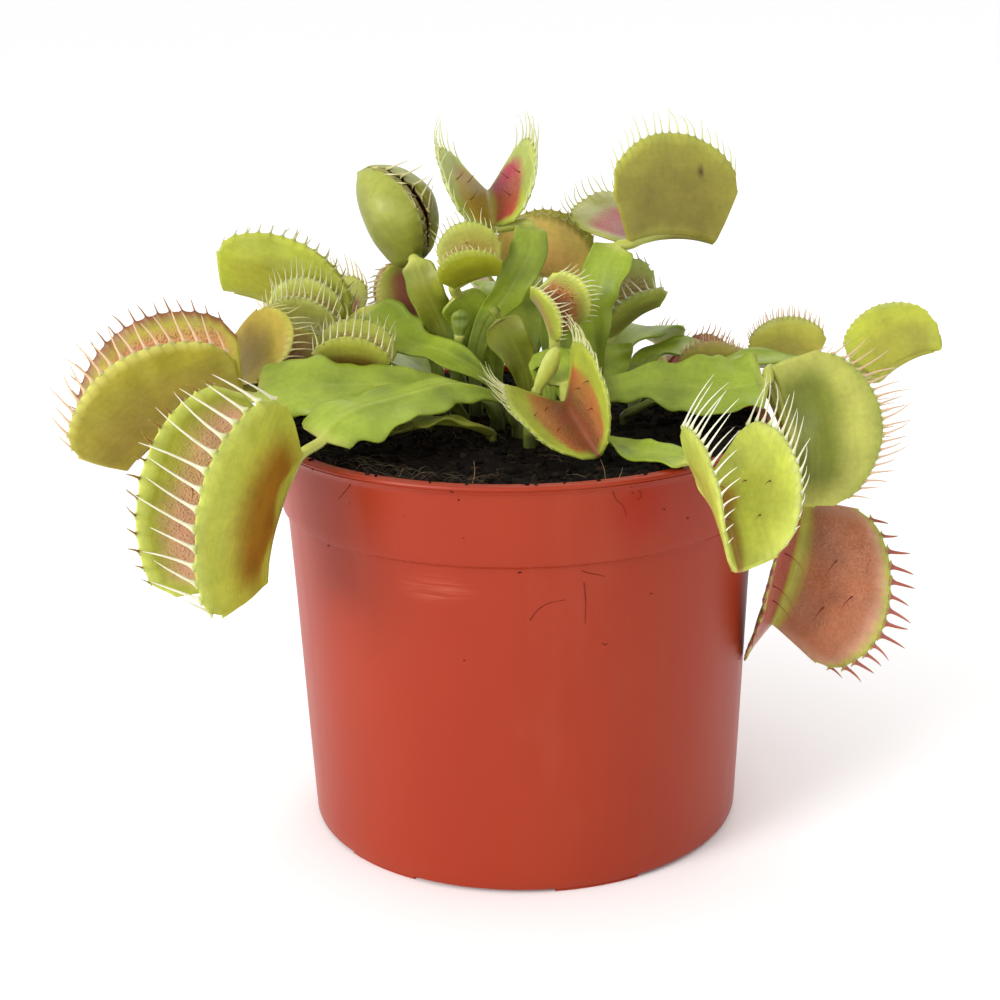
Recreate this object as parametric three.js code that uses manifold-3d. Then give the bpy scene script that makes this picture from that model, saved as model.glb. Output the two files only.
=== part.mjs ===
// A venus flytrap in a small plastic nursery pot. Millimetres, +Z up, the plant's front toward -Y.
// The origin is the centre of the underside of the pot.
import * as THREE from 'three';
import { mergeVertices } from 'three/addons/utils/BufferGeometryUtils.js';
import Module from 'manifold-3d';

const wasm = await Module();
wasm.setup();

// Pot
const potHeight = 74;
const lipRadius = 45;
const lipHeight = 1.4;
const bandTopRadius = 44;
const bandBottomRadius = 43;
const bandHeight = 14;
const wallTopRadius = 42.3;
const footRadius = 39.3;
const wall = 1.1;
const floorUnder = 0.5;
const floorTop = 1.9;
const footCount = 6;
const footTurnDegrees = 18;
const footGapDegrees = 38;
const footWidth = 2;
const padRadius = 7;
const drainHoles = 6;
const drainRadius = 3.2;
const drainCircle = 26;
const potSides = 40;

// Soil
const soilTop = 72.4;
const soilRings = 5;
const soilSides = 26;
const clearance = 0.3;
const footDepth = 7;
const footHoleRadius = 1.75;
const footHoleSides = 7;

// Leaves
const edgeThickness = 0.6;
const ribThickness = 1.4;
const stemHalfWidth = 0.95;
const footHalfWidth = 1.25;
const lobeThickness = 0.8;
const hingeRadius = 1.2;
const lobeColumns = 5;
const middleRow = 0.55;
const toothShare = 0.19;
const endDepth = 0.6;
const endFlare = 0.42;

// Numbers that look random but stay the same on every run.
function seeded(seed) {
  let state = seed;
  return function next() {
    state = (state * 16807) % 2147483647;
    return state / 2147483647;
  };
}

const vector = (list) => new THREE.Vector3(...list);

// A closed three.js geometry as a solid.
function solidOf(geometry) {
  const bare = geometry.clone();
  bare.deleteAttribute('normal');
  bare.deleteAttribute('uv');
  const merged = mergeVertices(bare, 1e-4);
  return new wasm.Manifold(new wasm.Mesh({
    numProp: 3,
    vertProperties: new Float32Array(merged.attributes.position.array),
    triVerts: new Uint32Array(merged.index.array),
  }));
}

// A closed solid from bare points and triangles.
function solidFrom(points, triangles) {
  const flat = new Float32Array(points.length * 3);
  points.forEach((point, index) => point.toArray(flat, index * 3));
  return new wasm.Manifold(new wasm.Mesh({
    numProp: 3,
    vertProperties: flat,
    triVerts: new Uint32Array(triangles.flat()),
  }));
}

function meshOf(name, solid, look) {
  const result = solid.getMesh();
  const geometry = new THREE.BufferGeometry();
  geometry.setAttribute('position', new THREE.BufferAttribute(result.vertProperties, 3));
  geometry.setIndex(new THREE.BufferAttribute(result.triVerts, 1));
  const flatShaded = geometry.toNonIndexed();
  flatShaded.computeVertexNormals();
  const mesh = new THREE.Mesh(flatShaded, new THREE.MeshStandardMaterial(look));
  mesh.name = name;
  return mesh;
}

function turned(profile, sides) {
  const lathe = new THREE.LatheGeometry(profile.map(([r, z]) => new THREE.Vector2(r, z)), sides);
  lathe.rotateX(Math.PI / 2);
  return solidOf(lathe);
}

function upright(radius, height, sides) {
  return new THREE.CylinderGeometry(radius, radius, height, sides).rotateX(Math.PI / 2);
}

// The pot: a tapered wall under a plain band and a lip, on a floor that stands on low feet under its edge.
function makePot() {
  const bandBottom = potHeight - bandHeight;
  const lipBottom = potHeight - lipHeight;
  const footSlope = (wallTopRadius - footRadius) / bandBottom;
  const floorOuter = footRadius + footSlope * floorUnder;
  const shell = turned([
    [0, floorUnder],
    [footRadius - footWidth, floorUnder],
    [footRadius - footWidth, 0],
    [footRadius, 0],
    [floorOuter, floorUnder],
    [wallTopRadius, bandBottom],
    [bandBottomRadius, bandBottom + 0.5],
    [bandTopRadius, lipBottom],
    [lipRadius - 0.3, lipBottom],
    [lipRadius, lipBottom + 0.5],
    [lipRadius - 0.3, potHeight],
    [bandTopRadius - wall, potHeight],
    [bandBottomRadius - wall, bandBottom],
    [footRadius - wall, floorTop],
    [0, floorTop],
  ], potSides);
  const cuts = [];
  for (let index = 0; index < footCount; index += 1) {
    const gapWidth = 2 * footRadius * Math.sin(THREE.MathUtils.degToRad(footGapDegrees / 2));
    const turn = footTurnDegrees + (index * 360) / footCount;
    const gap = new THREE.BoxGeometry(footWidth * 5, gapWidth, floorUnder * 2);
    gap.translate(footRadius, 0, 0);
    gap.rotateZ(THREE.MathUtils.degToRad(turn));
    cuts.push(solidOf(gap));
  }
  for (let index = 0; index < drainHoles; index += 1) {
    const angle = (index / drainHoles) * Math.PI * 2;
    const hole = upright(drainRadius, floorTop * 3, 12);
    hole.translate(Math.cos(angle) * drainCircle, Math.sin(angle) * drainCircle, floorTop);
    cuts.push(solidOf(hole));
  }
  let pot = shell;
  cuts.forEach((cut) => {
    pot = pot.subtract(cut);
  });
  const padHeight = floorUnder + 0.4;
  const pad = upright(padRadius, padHeight, 24);
  pad.translate(0, 0, padHeight / 2);
  return pot.add(solidOf(pad));
}

// The soil: fills the pot a little clear of its wall, with a lumpy top and a hole for each leaf foot.
function makeSoil(feet) {
  const bandBottom = potHeight - bandHeight;
  const bottom = floorTop + clearance;
  const bottomRadius = footRadius - wall - clearance;
  const bandRadius = bandBottomRadius - wall - clearance;
  const slope = (bandTopRadius - bandBottomRadius) / bandHeight;
  const topRadius = bandRadius + slope * (soilTop - bandBottom);
  const points = [new THREE.Vector3(0, 0, soilTop + 0.4)];
  const triangles = [];
  for (let ring = 1; ring <= soilRings; ring += 1) {
    for (let side = 0; side < soilSides; side += 1) {
      const angle = (side / soilSides) * Math.PI * 2;
      const radius = topRadius * (ring / soilRings);
      const x = Math.cos(angle) * radius;
      const y = Math.sin(angle) * radius;
      const lump = Math.sin(x * 0.51 + 1.3) * Math.cos(y * 0.63) + Math.sin(x * 1.13 - y * 0.9) * 0.5;
      const mound = 0.4 * (1 - (ring / soilRings) ** 2);
      const height = soilTop + mound + lump * 0.3;
      points.push(new THREE.Vector3(x, y, height));
    }
  }
  const ringStart = (ring) => 1 + (ring - 1) * soilSides;
  const wallRings = [[bandRadius, bandBottom], [bottomRadius, bottom]];
  wallRings.forEach(([radius, z]) => {
    for (let side = 0; side < soilSides; side += 1) {
      const angle = (side / soilSides) * Math.PI * 2;
      points.push(new THREE.Vector3(Math.cos(angle) * radius, Math.sin(angle) * radius, z));
    }
  });
  const rings = soilRings + wallRings.length;
  for (let side = 0; side < soilSides; side += 1) {
    const next = (side + 1) % soilSides;
    triangles.push([0, ringStart(1) + side, ringStart(1) + next]);
    for (let ring = 1; ring < rings; ring += 1) {
      const inner = ringStart(ring);
      const outer = ringStart(ring + 1);
      triangles.push([inner + side, outer + side, outer + next]);
      triangles.push([inner + side, outer + next, inner + next]);
    }
    triangles.push([points.length, ringStart(rings) + next, ringStart(rings) + side]);
  }
  points.push(new THREE.Vector3(0, 0, bottom));
  let soil = solidFrom(points, triangles);
  feet.forEach(([x, y]) => {
    const hole = upright(footHoleRadius, footDepth * 2, footHoleSides);
    hole.translate(x, y, soilTop + clearance);
    soil = soil.subtract(solidOf(hole));
  });
  return soil;
}

// The sheet of a trap: both lobes and the hinge between them, as a function of the place along the
// hinge (0 to 1) and the distance from it. A minus sign on the distance means the other lobe. The
// lobes of a shut trap meet along their whole margin.
function trapSurface(trap) {
  const base = vector(trap.base);
  const along = vector(trap.end).sub(base);
  const length = along.length();
  along.normalize();
  const open = vector(trap.open);
  open.addScaledVector(along, -open.dot(along)).normalize();
  const across = new THREE.Vector3().crossVectors(along, open);
  const gape = THREE.MathUtils.degToRad(trap.gape);
  const bow = THREE.MathUtils.degToRad(trap.bow);
  const hingeArc = hingeRadius * (Math.PI / 2 - gape);
  const [baseFlare, farFlare] = trap.flare ?? [endFlare, endFlare];
  const [baseDepth, farDepth] = trap.ends ?? [endDepth, endDepth];
  const arch = trap.arch ?? length * 0.09;
  const depthAt = (s) => {
    const least = baseDepth + (farDepth - baseDepth) * s;
    return trap.deep * (least + (1 - least) * Math.max(Math.sin(Math.PI * s), 0) ** 0.8);
  };
  const pointAt = (s, distance) => {
    const far = Math.abs(distance);
    const bend = bow / (trap.shut ? depthAt(s) : trap.deep);
    let y;
    let z;
    if (far < hingeArc) {
      y = hingeRadius * Math.sin(far / hingeRadius);
      z = hingeRadius * (1 - Math.cos(far / hingeRadius));
    } else {
      const rest = gape - bend * (far - hingeArc);
      y = hingeRadius * Math.cos(gape) + (Math.cos(rest) - Math.cos(gape)) / bend;
      z = hingeRadius * (1 - Math.sin(gape)) + (Math.sin(gape) - Math.sin(rest)) / bend;
    }
    const x = length * s + far * (farFlare * s - baseFlare * (1 - s));
    return base.clone()
      .addScaledVector(along, x)
      .addScaledVector(across, Math.sign(distance) * y)
      .addScaledVector(open, z + arch * (1 - (2 * s - 1) ** 2));
  };
  // The unit normal points into the mouth.
  const normalAt = (s, distance) => {
    const step = 0.02;
    const byDistance = pointAt(s, distance + step).sub(pointAt(s, distance - step));
    const byPlace = pointAt(s + step / length, distance).sub(pointAt(s - step / length, distance));
    return byDistance.cross(byPlace).normalize();
  };
  return { pointAt, normalAt, depthAt, hingeArc, length, arch, along, open };
}

// Where a margin is divided along the hinge: a tooth stands on every second piece. The other lobe's
// teeth are half a spacing along, so that the two rows pass between each other.
function marginPlaces(teeth, shift) {
  const places = [0];
  for (let tooth = 0; tooth < teeth; tooth += 1) {
    const centre = (tooth + 0.5 + shift) / teeth;
    if (centre < 0.98) places.push(centre - toothShare / teeth, centre + toothShare / teeth);
  }
  places.push(1);
  return places;
}

// The solid of a trap: the sheet given its thickness, and a row of teeth raised from each margin.
function makeTrap(trap, random) {
  const surface = trapSurface(trap);
  const points = [];
  const triangles = [];
  const places = { left: marginPlaces(trap.teeth, 0), right: marginPlaces(trap.teeth, 0.5) };
  const rows = [];
  const distances = [
    (s) => -surface.depthAt(s),
    (s) => -surface.hingeArc - middleRow * (surface.depthAt(s) - surface.hingeArc),
    () => -surface.hingeArc,
    () => 0,
    () => surface.hingeArc,
    (s) => surface.hingeArc + middleRow * (surface.depthAt(s) - surface.hingeArc),
    (s) => surface.depthAt(s),
  ];
  distances.forEach((distanceAt, rowIndex) => {
    let spots = Array.from({ length: lobeColumns + 1 }, (_, column) => column / lobeColumns);
    if (rowIndex === 0) spots = places.left;
    if (rowIndex === distances.length - 1) spots = places.right;
    const row = [];
    spots.forEach((s) => {
      const middle = surface.pointAt(s, distanceAt(s));
      const normal = surface.normalAt(s, distanceAt(s));
      const inner = points.push(middle.clone().addScaledVector(normal, lobeThickness / 2)) - 1;
      const outer = points.push(middle.clone().addScaledVector(normal, -lobeThickness / 2)) - 1;
      row.push({ s, inner, outer });
    });
    rows.push(row);
  });
  const bothFaces = (a, b, c) => {
    triangles.push([a.inner, b.inner, c.inner]);
    triangles.push([a.outer, c.outer, b.outer]);
  };
  for (let index = 0; index < rows.length - 1; index += 1) {
    const low = rows[index];
    const high = rows[index + 1];
    let i = 0;
    let j = 0;
    while (i < low.length - 1 || j < high.length - 1) {
      const lowNext = i < low.length - 1 ? low[i + 1].s : 2;
      const highNext = j < high.length - 1 ? high[j + 1].s : 2;
      if (lowNext <= highNext) {
        bothFaces(low[i], high[j], low[i + 1]);
        i += 1;
      } else {
        bothFaces(low[i], high[j], high[j + 1]);
        j += 1;
      }
    }
    const [firstLow, firstHigh] = [low[0], high[0]];
    const [lastLow, lastHigh] = [low[low.length - 1], high[high.length - 1]];
    triangles.push([firstLow.inner, firstLow.outer, firstHigh.inner]);
    triangles.push([firstHigh.inner, firstLow.outer, firstHigh.outer]);
    triangles.push([lastLow.inner, lastHigh.inner, lastLow.outer]);
    triangles.push([lastHigh.inner, lastHigh.outer, lastLow.outer]);
  }
  [-1, 1].forEach((side) => {
    const row = side < 0 ? rows[0] : rows[rows.length - 1];
    const longest = side < 0 ? trap.tooth : trap.otherTooth ?? trap.tooth;
    for (let step = 0; step < row.length - 1; step += 1) {
      const [from, to] = [row[step], row[step + 1]];
      const loop = side > 0
        ? [from.inner, from.outer, to.outer, to.inner]
        : [from.inner, to.inner, to.outer, from.outer];
      if (step % 2 === 1) {
        const s = (from.s + to.s) / 2;
        const inward = surface.normalAt(s, side * surface.depthAt(s));
        const tangent = points[to.inner].clone().sub(points[from.inner]).normalize();
        const outward = new THREE.Vector3().crossVectors(tangent, inward).multiplyScalar(side);
        const lean = THREE.MathUtils.degToRad(trap.lean ?? 12);
        const [baseLength, farLength] = trap.taper ?? [1, 1];
        const taper = baseLength + (farLength - baseLength) * s;
        const reach = longest * taper * (0.7 + 0.4 * Math.sin(Math.PI * s)) * (0.86 + 0.28 * random());
        const tip = new THREE.Vector3();
        loop.forEach((index) => tip.addScaledVector(points[index], 0.25));
        tip.addScaledVector(outward, reach * Math.cos(lean));
        tip.addScaledVector(inward, reach * Math.sin(lean));
        const tipIndex = points.push(tip) - 1;
        loop.forEach((index, corner) => triangles.push([index, loop[(corner + 1) % 4], tipIndex]));
      } else {
        triangles.push([loop[0], loop[1], loop[2]]);
        triangles.push([loop[0], loop[2], loop[3]]);
      }
    }
  });
  return solidFrom(points, triangles);
}

// A ribbon or stem swept along a row of stations, six points round each: two thin edges and a rib.
function sweep(stations, upHint) {
  const points = [];
  const triangles = [];
  stations.forEach((station, index) => {
    const before = stations[Math.max(index - 1, 0)].at;
    const after = stations[Math.min(index + 1, stations.length - 1)].at;
    const forward = after.clone().sub(before).normalize();
    const right = new THREE.Vector3().crossVectors(forward, upHint).normalize();
    const up = new THREE.Vector3().crossVectors(right, forward);
    const place = (sideways, lift) => points.push(station.at.clone()
      .addScaledVector(right, sideways).addScaledVector(up, lift));
    const { half, edge, rib, liftLeft, liftRight } = station;
    place(-half, liftLeft + edge);
    place(0, rib);
    place(half, liftRight + edge);
    place(half, liftRight - edge);
    place(0, -rib);
    place(-half, liftLeft - edge);
  });
  for (let index = 0; index < stations.length - 1; index += 1) {
    for (let corner = 0; corner < 6; corner += 1) {
      const next = (corner + 1) % 6;
      const here = index * 6;
      const there = here + 6;
      triangles.push([here + corner, here + next, there + next]);
      triangles.push([here + corner, there + next, there + corner]);
    }
  }
  const cap = (start, order) => order.forEach((tri) => triangles.push(tri.map((k) => start + k)));
  cap(0, [[0, 5, 1], [1, 5, 4], [1, 4, 2], [2, 4, 3]]);
  cap((stations.length - 1) * 6, [[0, 1, 5], [1, 4, 5], [1, 2, 4], [2, 3, 4]]);
  return solidFrom(points, triangles);
}

// How the winged stalk widens from its foot to the shoulders below the neck.
const bladeShape = [
  [0, 0.18], [0.14, 0.28], [0.3, 0.48], [0.46, 0.7], [0.62, 0.9], [0.77, 1], [0.9, 0.97], [0.97, 0.66],
];

// The winged leaf stalk: a foot in the soil, a waved blade, a neck, and the rib under the hinge.
function makeStalk(leaf, random) {
  const [footX, footY] = leaf.foot;
  const surfacePoints = [new THREE.Vector3(footX, footY, soilTop + 1.1), ...leaf.path.map(vector)];
  const blade = new THREE.CatmullRomCurve3(surfacePoints, false, 'centripetal');
  const plain = { liftLeft: 0, liftRight: 0 };
  const foot = { half: footHalfWidth, edge: 0.45, rib: 0.9, ...plain };
  const stations = [
    { at: new THREE.Vector3(footX, footY, soilTop - footDepth + 1), ...foot },
    { at: new THREE.Vector3(footX, footY, soilTop - 1.2), ...foot },
  ];
  const wave = leaf.wave ?? 0.5;
  const phase = random() * Math.PI * 2;
  const shape = leaf.wide ? bladeShape : [[0, 0], [0.35, 0], [0.7, 0]];
  shape.forEach(([t, width]) => {
    const half = Math.max(leaf.wide * width, footHalfWidth * (1 - 0.3 * t));
    const ripple = wave * width;
    const fold = (leaf.fold ?? 0.14) * half;
    stations.push({
      at: blade.getPointAt(t),
      half,
      edge: edgeThickness / 2,
      rib: ribThickness / 2,
      liftLeft: fold + ripple * Math.sin(t * 13 + phase),
      liftRight: fold + ripple * Math.sin(t * 15 + phase + 2),
    });
  });
  const neck = { half: stemHalfWidth, edge: 0.4, rib: 0.8, ...plain };
  stations.push({ at: blade.getPointAt(1), ...neck });
  return { stations, neck };
}

function makeLeaf(leaf, random) {
  const { stations, neck } = makeStalk(leaf, random);
  const upHint = vector(leaf.up ?? [0, 0, 1]).normalize();
  if (leaf.bud) {
    const [length, radius] = leaf.bud;
    const start = stations[stations.length - 1].at;
    const direction = start.clone().sub(stations[stations.length - 2].at).normalize();
    [[0.25, 0.85], [0.5, 1], [0.75, 0.8], [0.95, 0.35]].forEach(([t, swell]) => {
      stations.push({
        at: start.clone().addScaledVector(direction, length * t),
        half: radius * swell,
        edge: radius * swell * 0.5,
        rib: radius * swell,
        liftLeft: 0,
        liftRight: 0,
      });
    });
    return sweep(stations, upHint);
  }
  (leaf.stem ?? []).forEach((point) => stations.push({ ...neck, at: vector(point) }));
  const surface = trapSurface(leaf.trap);
  [0, 0.18, 0.4].forEach((s) => {
    const taper = 1 - s * 1.4;
    const at = surface.pointAt(s, 0).addScaledVector(surface.open, -0.35);
    stations.push({ ...neck, at, half: stemHalfWidth * taper, rib: 0.8 * taper, edge: 0.4 * taper });
  });
  return sweep(stations, upHint).add(makeTrap(leaf.trap, random));
}

// Every leaf: its foot on the soil, the line of its stalk, the half width of its blade, and its trap.
const leaves = {
  leaf_left_front: {
    foot: [0, -4],
    path: [[-2, -4.5, 77.5], [-10, -10, 82], [-20, -18.5, 82], [-28.5, -26, 81], [-32.5, -29.8, 77.8]],
    wide: 6.3, up: [-0.1, -0.45, 0.9],
    trap: {
      base: [-36, -33, 76.5], end: [-42, -38.7, 57], open: [-0.78, -0.63, 0.1], arch: 1.5,
      deep: 22.5, gape: 43, bow: 40, ends: [0.6, 0.68], flare: [0.6, 0.44],
      teeth: 14, tooth: 9, otherTooth: 3.6, lean: 30,
    },
  },
  leaf_left: {
    foot: [-4, 0],
    path: [[-6, -1, 77.5], [-18, -7, 81.5], [-30, -11, 82.8], [-38, -12, 82.8], [-45.6, -12, 81.2]],
    wide: 6.4, up: [0, -0.5, 0.87],
    trap: {
      base: [-48, -12, 82], end: [-68.8, -13, 69.5], open: [-0.3, -0.15, 0.95],
      deep: 19, gape: 44, bow: 36, flare: [0.4, 0.35],
      teeth: 14, tooth: 4.4, otherTooth: 2.4, lean: 10,
    },
  },
  leaf_left_upper: {
    foot: [-3, 5],
    path: [[-5, 4, 79.5], [-12.5, 4, 84.5], [-20.5, 9, 86.5], [-26, 14, 90.5], [-28, 15.5, 91]],
    wide: 4.6, up: [0.2, -0.55, 0.8],
    trap: {
      base: [-37, 21, 85.4], end: [-55.4, 23.2, 94.6], open: [0.05, 0.2, 1],
      deep: 12.9, gape: 32, bow: 46, flare: [0.42, 0.5], teeth: 12, tooth: 2, lean: 5,
    },
  },
  leaf_left_inner: {
    foot: [-16, 0], path: [[-22, 1, 77], [-32, 1.5, 78], [-42, 2, 78.5]],
    wide: 3.6,
    trap: {
      base: [-50.8, 3.8, 80], end: [-51.3, 8.8, 87.5], open: [0.9, -0.12, 0.45],
      deep: 16.2, gape: 38, bow: 34, flare: [0.25, 0.25], teeth: 9, tooth: 3.4, lean: 15,
    },
  },
  leaf_left_behind: {
    foot: [-14, 6], path: [[-22, 7, 79.5], [-28, 11, 82.3], [-31, 12.4, 85.4]],
    wide: 2.6,
    trap: {
      base: [-34.2, 15.8, 86.8], end: [-44.7, 16.1, 88.2], open: [0.15, -0.3, 0.95],
      deep: 9, gape: 36, bow: 34, flare: [0.2, 0.42], teeth: 9, tooth: 4.2, lean: 10,
    },
  },
  leaf_left_small: {
    foot: [-10, 3], path: [[-13, 1.5, 78], [-18, 0, 80], [-22, 0, 81]],
    wide: 2.2,
    trap: {
      base: [-24.7, 0.8, 81.7], end: [-34.3, 1.2, 82.8], open: [-0.35, -0.15, 0.9],
      deep: 9.5, gape: 40, bow: 36, teeth: 8, tooth: 4, lean: 26,
    },
  },
  leaf_top_left: {
    foot: [-10, 12], path: [[-12, 12.5, 82], [-14.3, 12.6, 89], [-17, 9.5, 96.5], [-18.5, 10.5, 101]],
    wide: 3.3, up: [0, -1, 0.2], stem: [[-19.6, 18, 100]],
    trap: {
      base: [-21.8, 24, 99.2], end: [-28.4, 23.4, 115.6], open: [0.62, -0.76, 0.2], arch: -1.2,
      deep: 22, gape: 84, bow: 166, shut: true, ends: [0.45, 0.16], flare: [0.1, 0.1],
      teeth: 9, tooth: 2, taper: [0.5, 1.5], lean: -40,
    },
  },
  leaf_top_left_small: {
    foot: [-15, 17], path: [[-15.5, 19, 80], [-16.5, 21, 83.5], [-17.5, 22, 86.5]],
    wide: 1.6, up: [0, -1, 0.2],
    trap: {
      base: [-17.4, 22.3, 88.6], end: [-21.4, 22.3, 98.4], open: [-0.9, -0.15, 0.1],
      deep: 7.5, gape: 34, bow: 50, flare: [0.1, 0.2], teeth: 6, tooth: 2.4, lean: 20,
    },
  },
  leaf_top: {
    foot: [-8, 9],
    path: [[-8, 10, 82], [-6.5, 10.5, 88], [-1.5, 10, 95.5], [2.4, 10.4, 103], [2.4, 12.6, 107]],
    wide: 3.4, up: [0.3, -0.85, 0.4],
    trap: {
      base: [-4.2, 15, 106.3], end: [-5.2, 22.8, 111.5], open: [-0.06, -0.3, 1],
      deep: 15, gape: 45, bow: 24, ends: [0.4, 0.4], flare: [0.52, 0.5],
      teeth: 8, tooth: 4.8, lean: 15,
    },
  },
  leaf_middle_small: {
    foot: [-4, 14], path: [[-5, 14.5, 82], [-8.5, 12, 89], [-11, 8.6, 95]],
    wide: 3.8, up: [0, -1, 0.4],
    trap: {
      base: [-11.4, 6.2, 97.3], end: [-3.4, 5.5, 99.6], open: [-0.1, -0.38, 0.92],
      deep: 9.6, gape: 42, bow: 32, flare: [0.3, 0.3], teeth: 9, tooth: 2.7, lean: 8,
    },
  },
  leaf_middle_young: {
    foot: [1, 9], path: [[1.5, 6.8, 79], [-1, 5, 86], [-3.4, 4.6, 91]],
    wide: 3.6, up: [0, -1, 0.3], bud: [2.6, 0.8],
  },
  leaf_back_top: {
    foot: [7, 20], path: [[8, 23, 81], [11, 29, 87], [13, 32, 89.8]],
    wide: 6.2, up: [0, -1, 0.3],
    trap: {
      base: [11, 34, 92.8], end: [-1.4, 36, 94.2], open: [0.1, 0, 1],
      deep: 12.5, gape: 34, bow: 46, teeth: 8, tooth: 0.9, lean: 10,
    },
  },
  leaf_top_right: {
    foot: [14, 10], path: [[14, 10, 82], [14, 10, 92], [16.5, 12, 99], [18.5, 14, 102.5]],
    wide: 4.2, up: [-0.3, -0.9, 0.3],
    trap: {
      base: [20.5, 15, 103], end: [37, 25, 101.5], open: [-0.4, 0.42, 0.8],
      deep: 18.5, gape: 48, bow: 28, flare: [0.5, 0.36], teeth: 13, tooth: 3.4, lean: 6,
    },
  },
  leaf_right_inner: {
    foot: [17, 17], path: [[17, 19, 78], [16.5, 20.5, 83]],
    wide: 5, up: [0, -1, 0.3],
    trap: {
      base: [17.7, 22, 84.8], end: [26.2, 22.5, 90.2], open: [0.25, -0.35, 0.9],
      deep: 11, gape: 42, bow: 32, teeth: 8, tooth: 3.6, lean: 8,
    },
  },
  leaf_middle: {
    foot: [9, 2], path: [[8.5, 3, 78], [6.6, 3, 85.5]],
    wide: 3.2, up: [0, -1, 0.3],
    trap: {
      base: [6.8, 2.5, 88.3], end: [3.2, 3, 95.6], open: [0.62, -0.72, 0.25],
      deep: 9.4, gape: 36, bow: 30, ends: [0.5, 0.62], flare: [0.1, 0.36],
      teeth: 9, tooth: 3.6, taper: [0.5, 1.2], lean: 6,
    },
  },
  bud_middle: {
    foot: [2, -11.5], path: [[2, -11.7, 76], [2, -12, 79], [3.2, -12.3, 81.7]],
    wide: 0, up: [0, -1, 0.1], bud: [8.5, 1.4],
  },
  leaf_front: {
    foot: [6, -4], path: [[5, -3, 80], [4.5, -3, 84.5], [6.5, -7, 85.5], [8, -11.5, 82.5]],
    wide: 3.6, up: [0, -0.6, 0.8],
    trap: {
      base: [8, -14.5, 80], end: [13, -28, 74.3], open: [-0.45, -0.38, 0.81],
      deep: 12.5, gape: 52, bow: 28, ends: [0.75, 0.3], flare: [0.5, 0.1],
      teeth: 12, tooth: 5.2, taper: [1.3, 0.1], lean: 8,
    },
  },
  leaf_right_front: {
    foot: [13, -14], path: [[15, -20.5, 74.9], [20, -28.5, 74.8], [24.5, -33, 75.3], [27.5, -36, 75.4]],
    wide: 3.2, up: [0.1, -0.5, 0.85], stem: [[29, -38.4, 75.2]],
    trap: {
      base: [29.4, -39, 72.4], end: [33.9, -50, 61.5], open: [0.29, -0.52, 0.8],
      deep: 15.8, gape: 41, bow: 30, ends: [0.68, 0.5], flare: [0.5, 0.1],
      teeth: 12, tooth: 7.4, taper: [1.2, 0.1], lean: 26,
    },
  },
  leaf_right: {
    foot: [13, -3], path: [[15, -3, 78.5], [25, -5, 80.8], [35, -6.4, 80], [43.4, -6.6, 81.2]],
    wide: 7, up: [0, -0.6, 0.8],
    trap: {
      base: [44.6, -4, 83.2], end: [47, -11, 60.4], open: [0.92, 0.3, 0.25],
      deep: 16.4, gape: 40, bow: 42, flare: [0.2, 0.12], teeth: 13, tooth: 5, lean: 8,
    },
  },
  leaf_right_low: {
    foot: [19, 2], path: [[25, 2, 76.5], [33, 3.5, 78], [40, 6, 79], [44.5, 8, 78]],
    wide: 4.2, stem: [[48.5, 8, 70]],
    trap: {
      base: [52.6, 4.6, 56], end: [46.8, 3, 32.8], open: [0.32, -0.947, 0],
      deep: 19.5, gape: 51, bow: 24, flare: [0.12, 0.44], teeth: 13, tooth: 3.8, lean: -4,
    },
  },
  leaf_far_right: {
    foot: [21, 9], path: [[27, 11.5, 79], [40, 13.2, 80.2], [54, 14, 79.4], [60, 14, 78.2]],
    wide: 4.6,
    trap: {
      base: [66.4, 14, 77.2], end: [77.9, 14, 82.9], open: [-0.35, 0.75, 0.6],
      deep: 12.4, gape: 32, bow: 60, ends: [0.6, 0.4], flare: [0.42, 0.25],
      teeth: 9, tooth: 1, lean: 30,
    },
  },
  leaf_right_back: {
    foot: [22, 21], path: [[25.5, 29.5, 78.5], [36, 33.5, 78.5], [43, 32.5, 78.5]],
    wide: 6,
    trap: {
      base: [46.8, 28.5, 77.4], end: [57.4, 27.5, 78.7], open: [0.1, 0.15, 1],
      deep: 8, gape: 40, bow: 40, teeth: 7, tooth: 2.2, lean: 8,
    },
  },
  leaf_right_behind: {
    foot: [24, 15], path: [[27, 17.5, 76.5], [29.5, 20.5, 77]],
    wide: 3.4,
    trap: {
      base: [32, 22, 77], end: [43, 20.8, 76.5], open: [0, 0.2, 1],
      deep: 6.2, gape: 46, bow: 40, flare: [0.42, 0.2], teeth: 8, tooth: 1.5, lean: 8,
    },
  },
  bud_front: {
    foot: [-5, -9], path: [[-8, -11, 75.5], [-14, -14, 77.2], [-18.5, -17, 77]],
    wide: 2.4, bud: [5, 1.6],
  },
  bud_left: {
    foot: [-11.5, 8.3], path: [[-11.3, 8, 80], [-10.6, 6.8, 87.8]],
    wide: 0, up: [0, -1, 0.1], bud: [4.8, 1.6],
  },
  leaf_back: {
    foot: [1, 26], path: [[1, 31, 84], [-1, 37.5, 90.5], [-2.5, 44, 90.5]],
    wide: 7,
    trap: {
      base: [-3, 48, 88.5], end: [-4, 62, 82], open: [0, 0.35, 0.95],
      deep: 14, gape: 48, bow: 36, teeth: 8, tooth: 4.5, lean: 10,
    },
  },
  leaf_back_left: {
    foot: [-13, 20], path: [[-19.5, 24, 78.2], [-27.5, 32.5, 81.5], [-32, 37, 82.5]],
    wide: 7.4,
    trap: {
      base: [-34, 40, 82], end: [-44, 52, 74], open: [-0.2, 0.2, 0.95],
      deep: 14, gape: 46, bow: 36, teeth: 8, tooth: 4.5, lean: 10,
    },
  },
  leaf_back_right: {
    foot: [15, 27], path: [[20, 32, 80], [25, 38, 82.4], [28, 43.5, 78.6]],
    wide: 6.4,
    trap: {
      base: [30, 48.5, 72.6], end: [38, 57.5, 61], open: [0.45, 0.5, 0.75],
      deep: 11.5, gape: 46, bow: 36, teeth: 7, tooth: 2.6, lean: 10,
    },
  },
};

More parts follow.
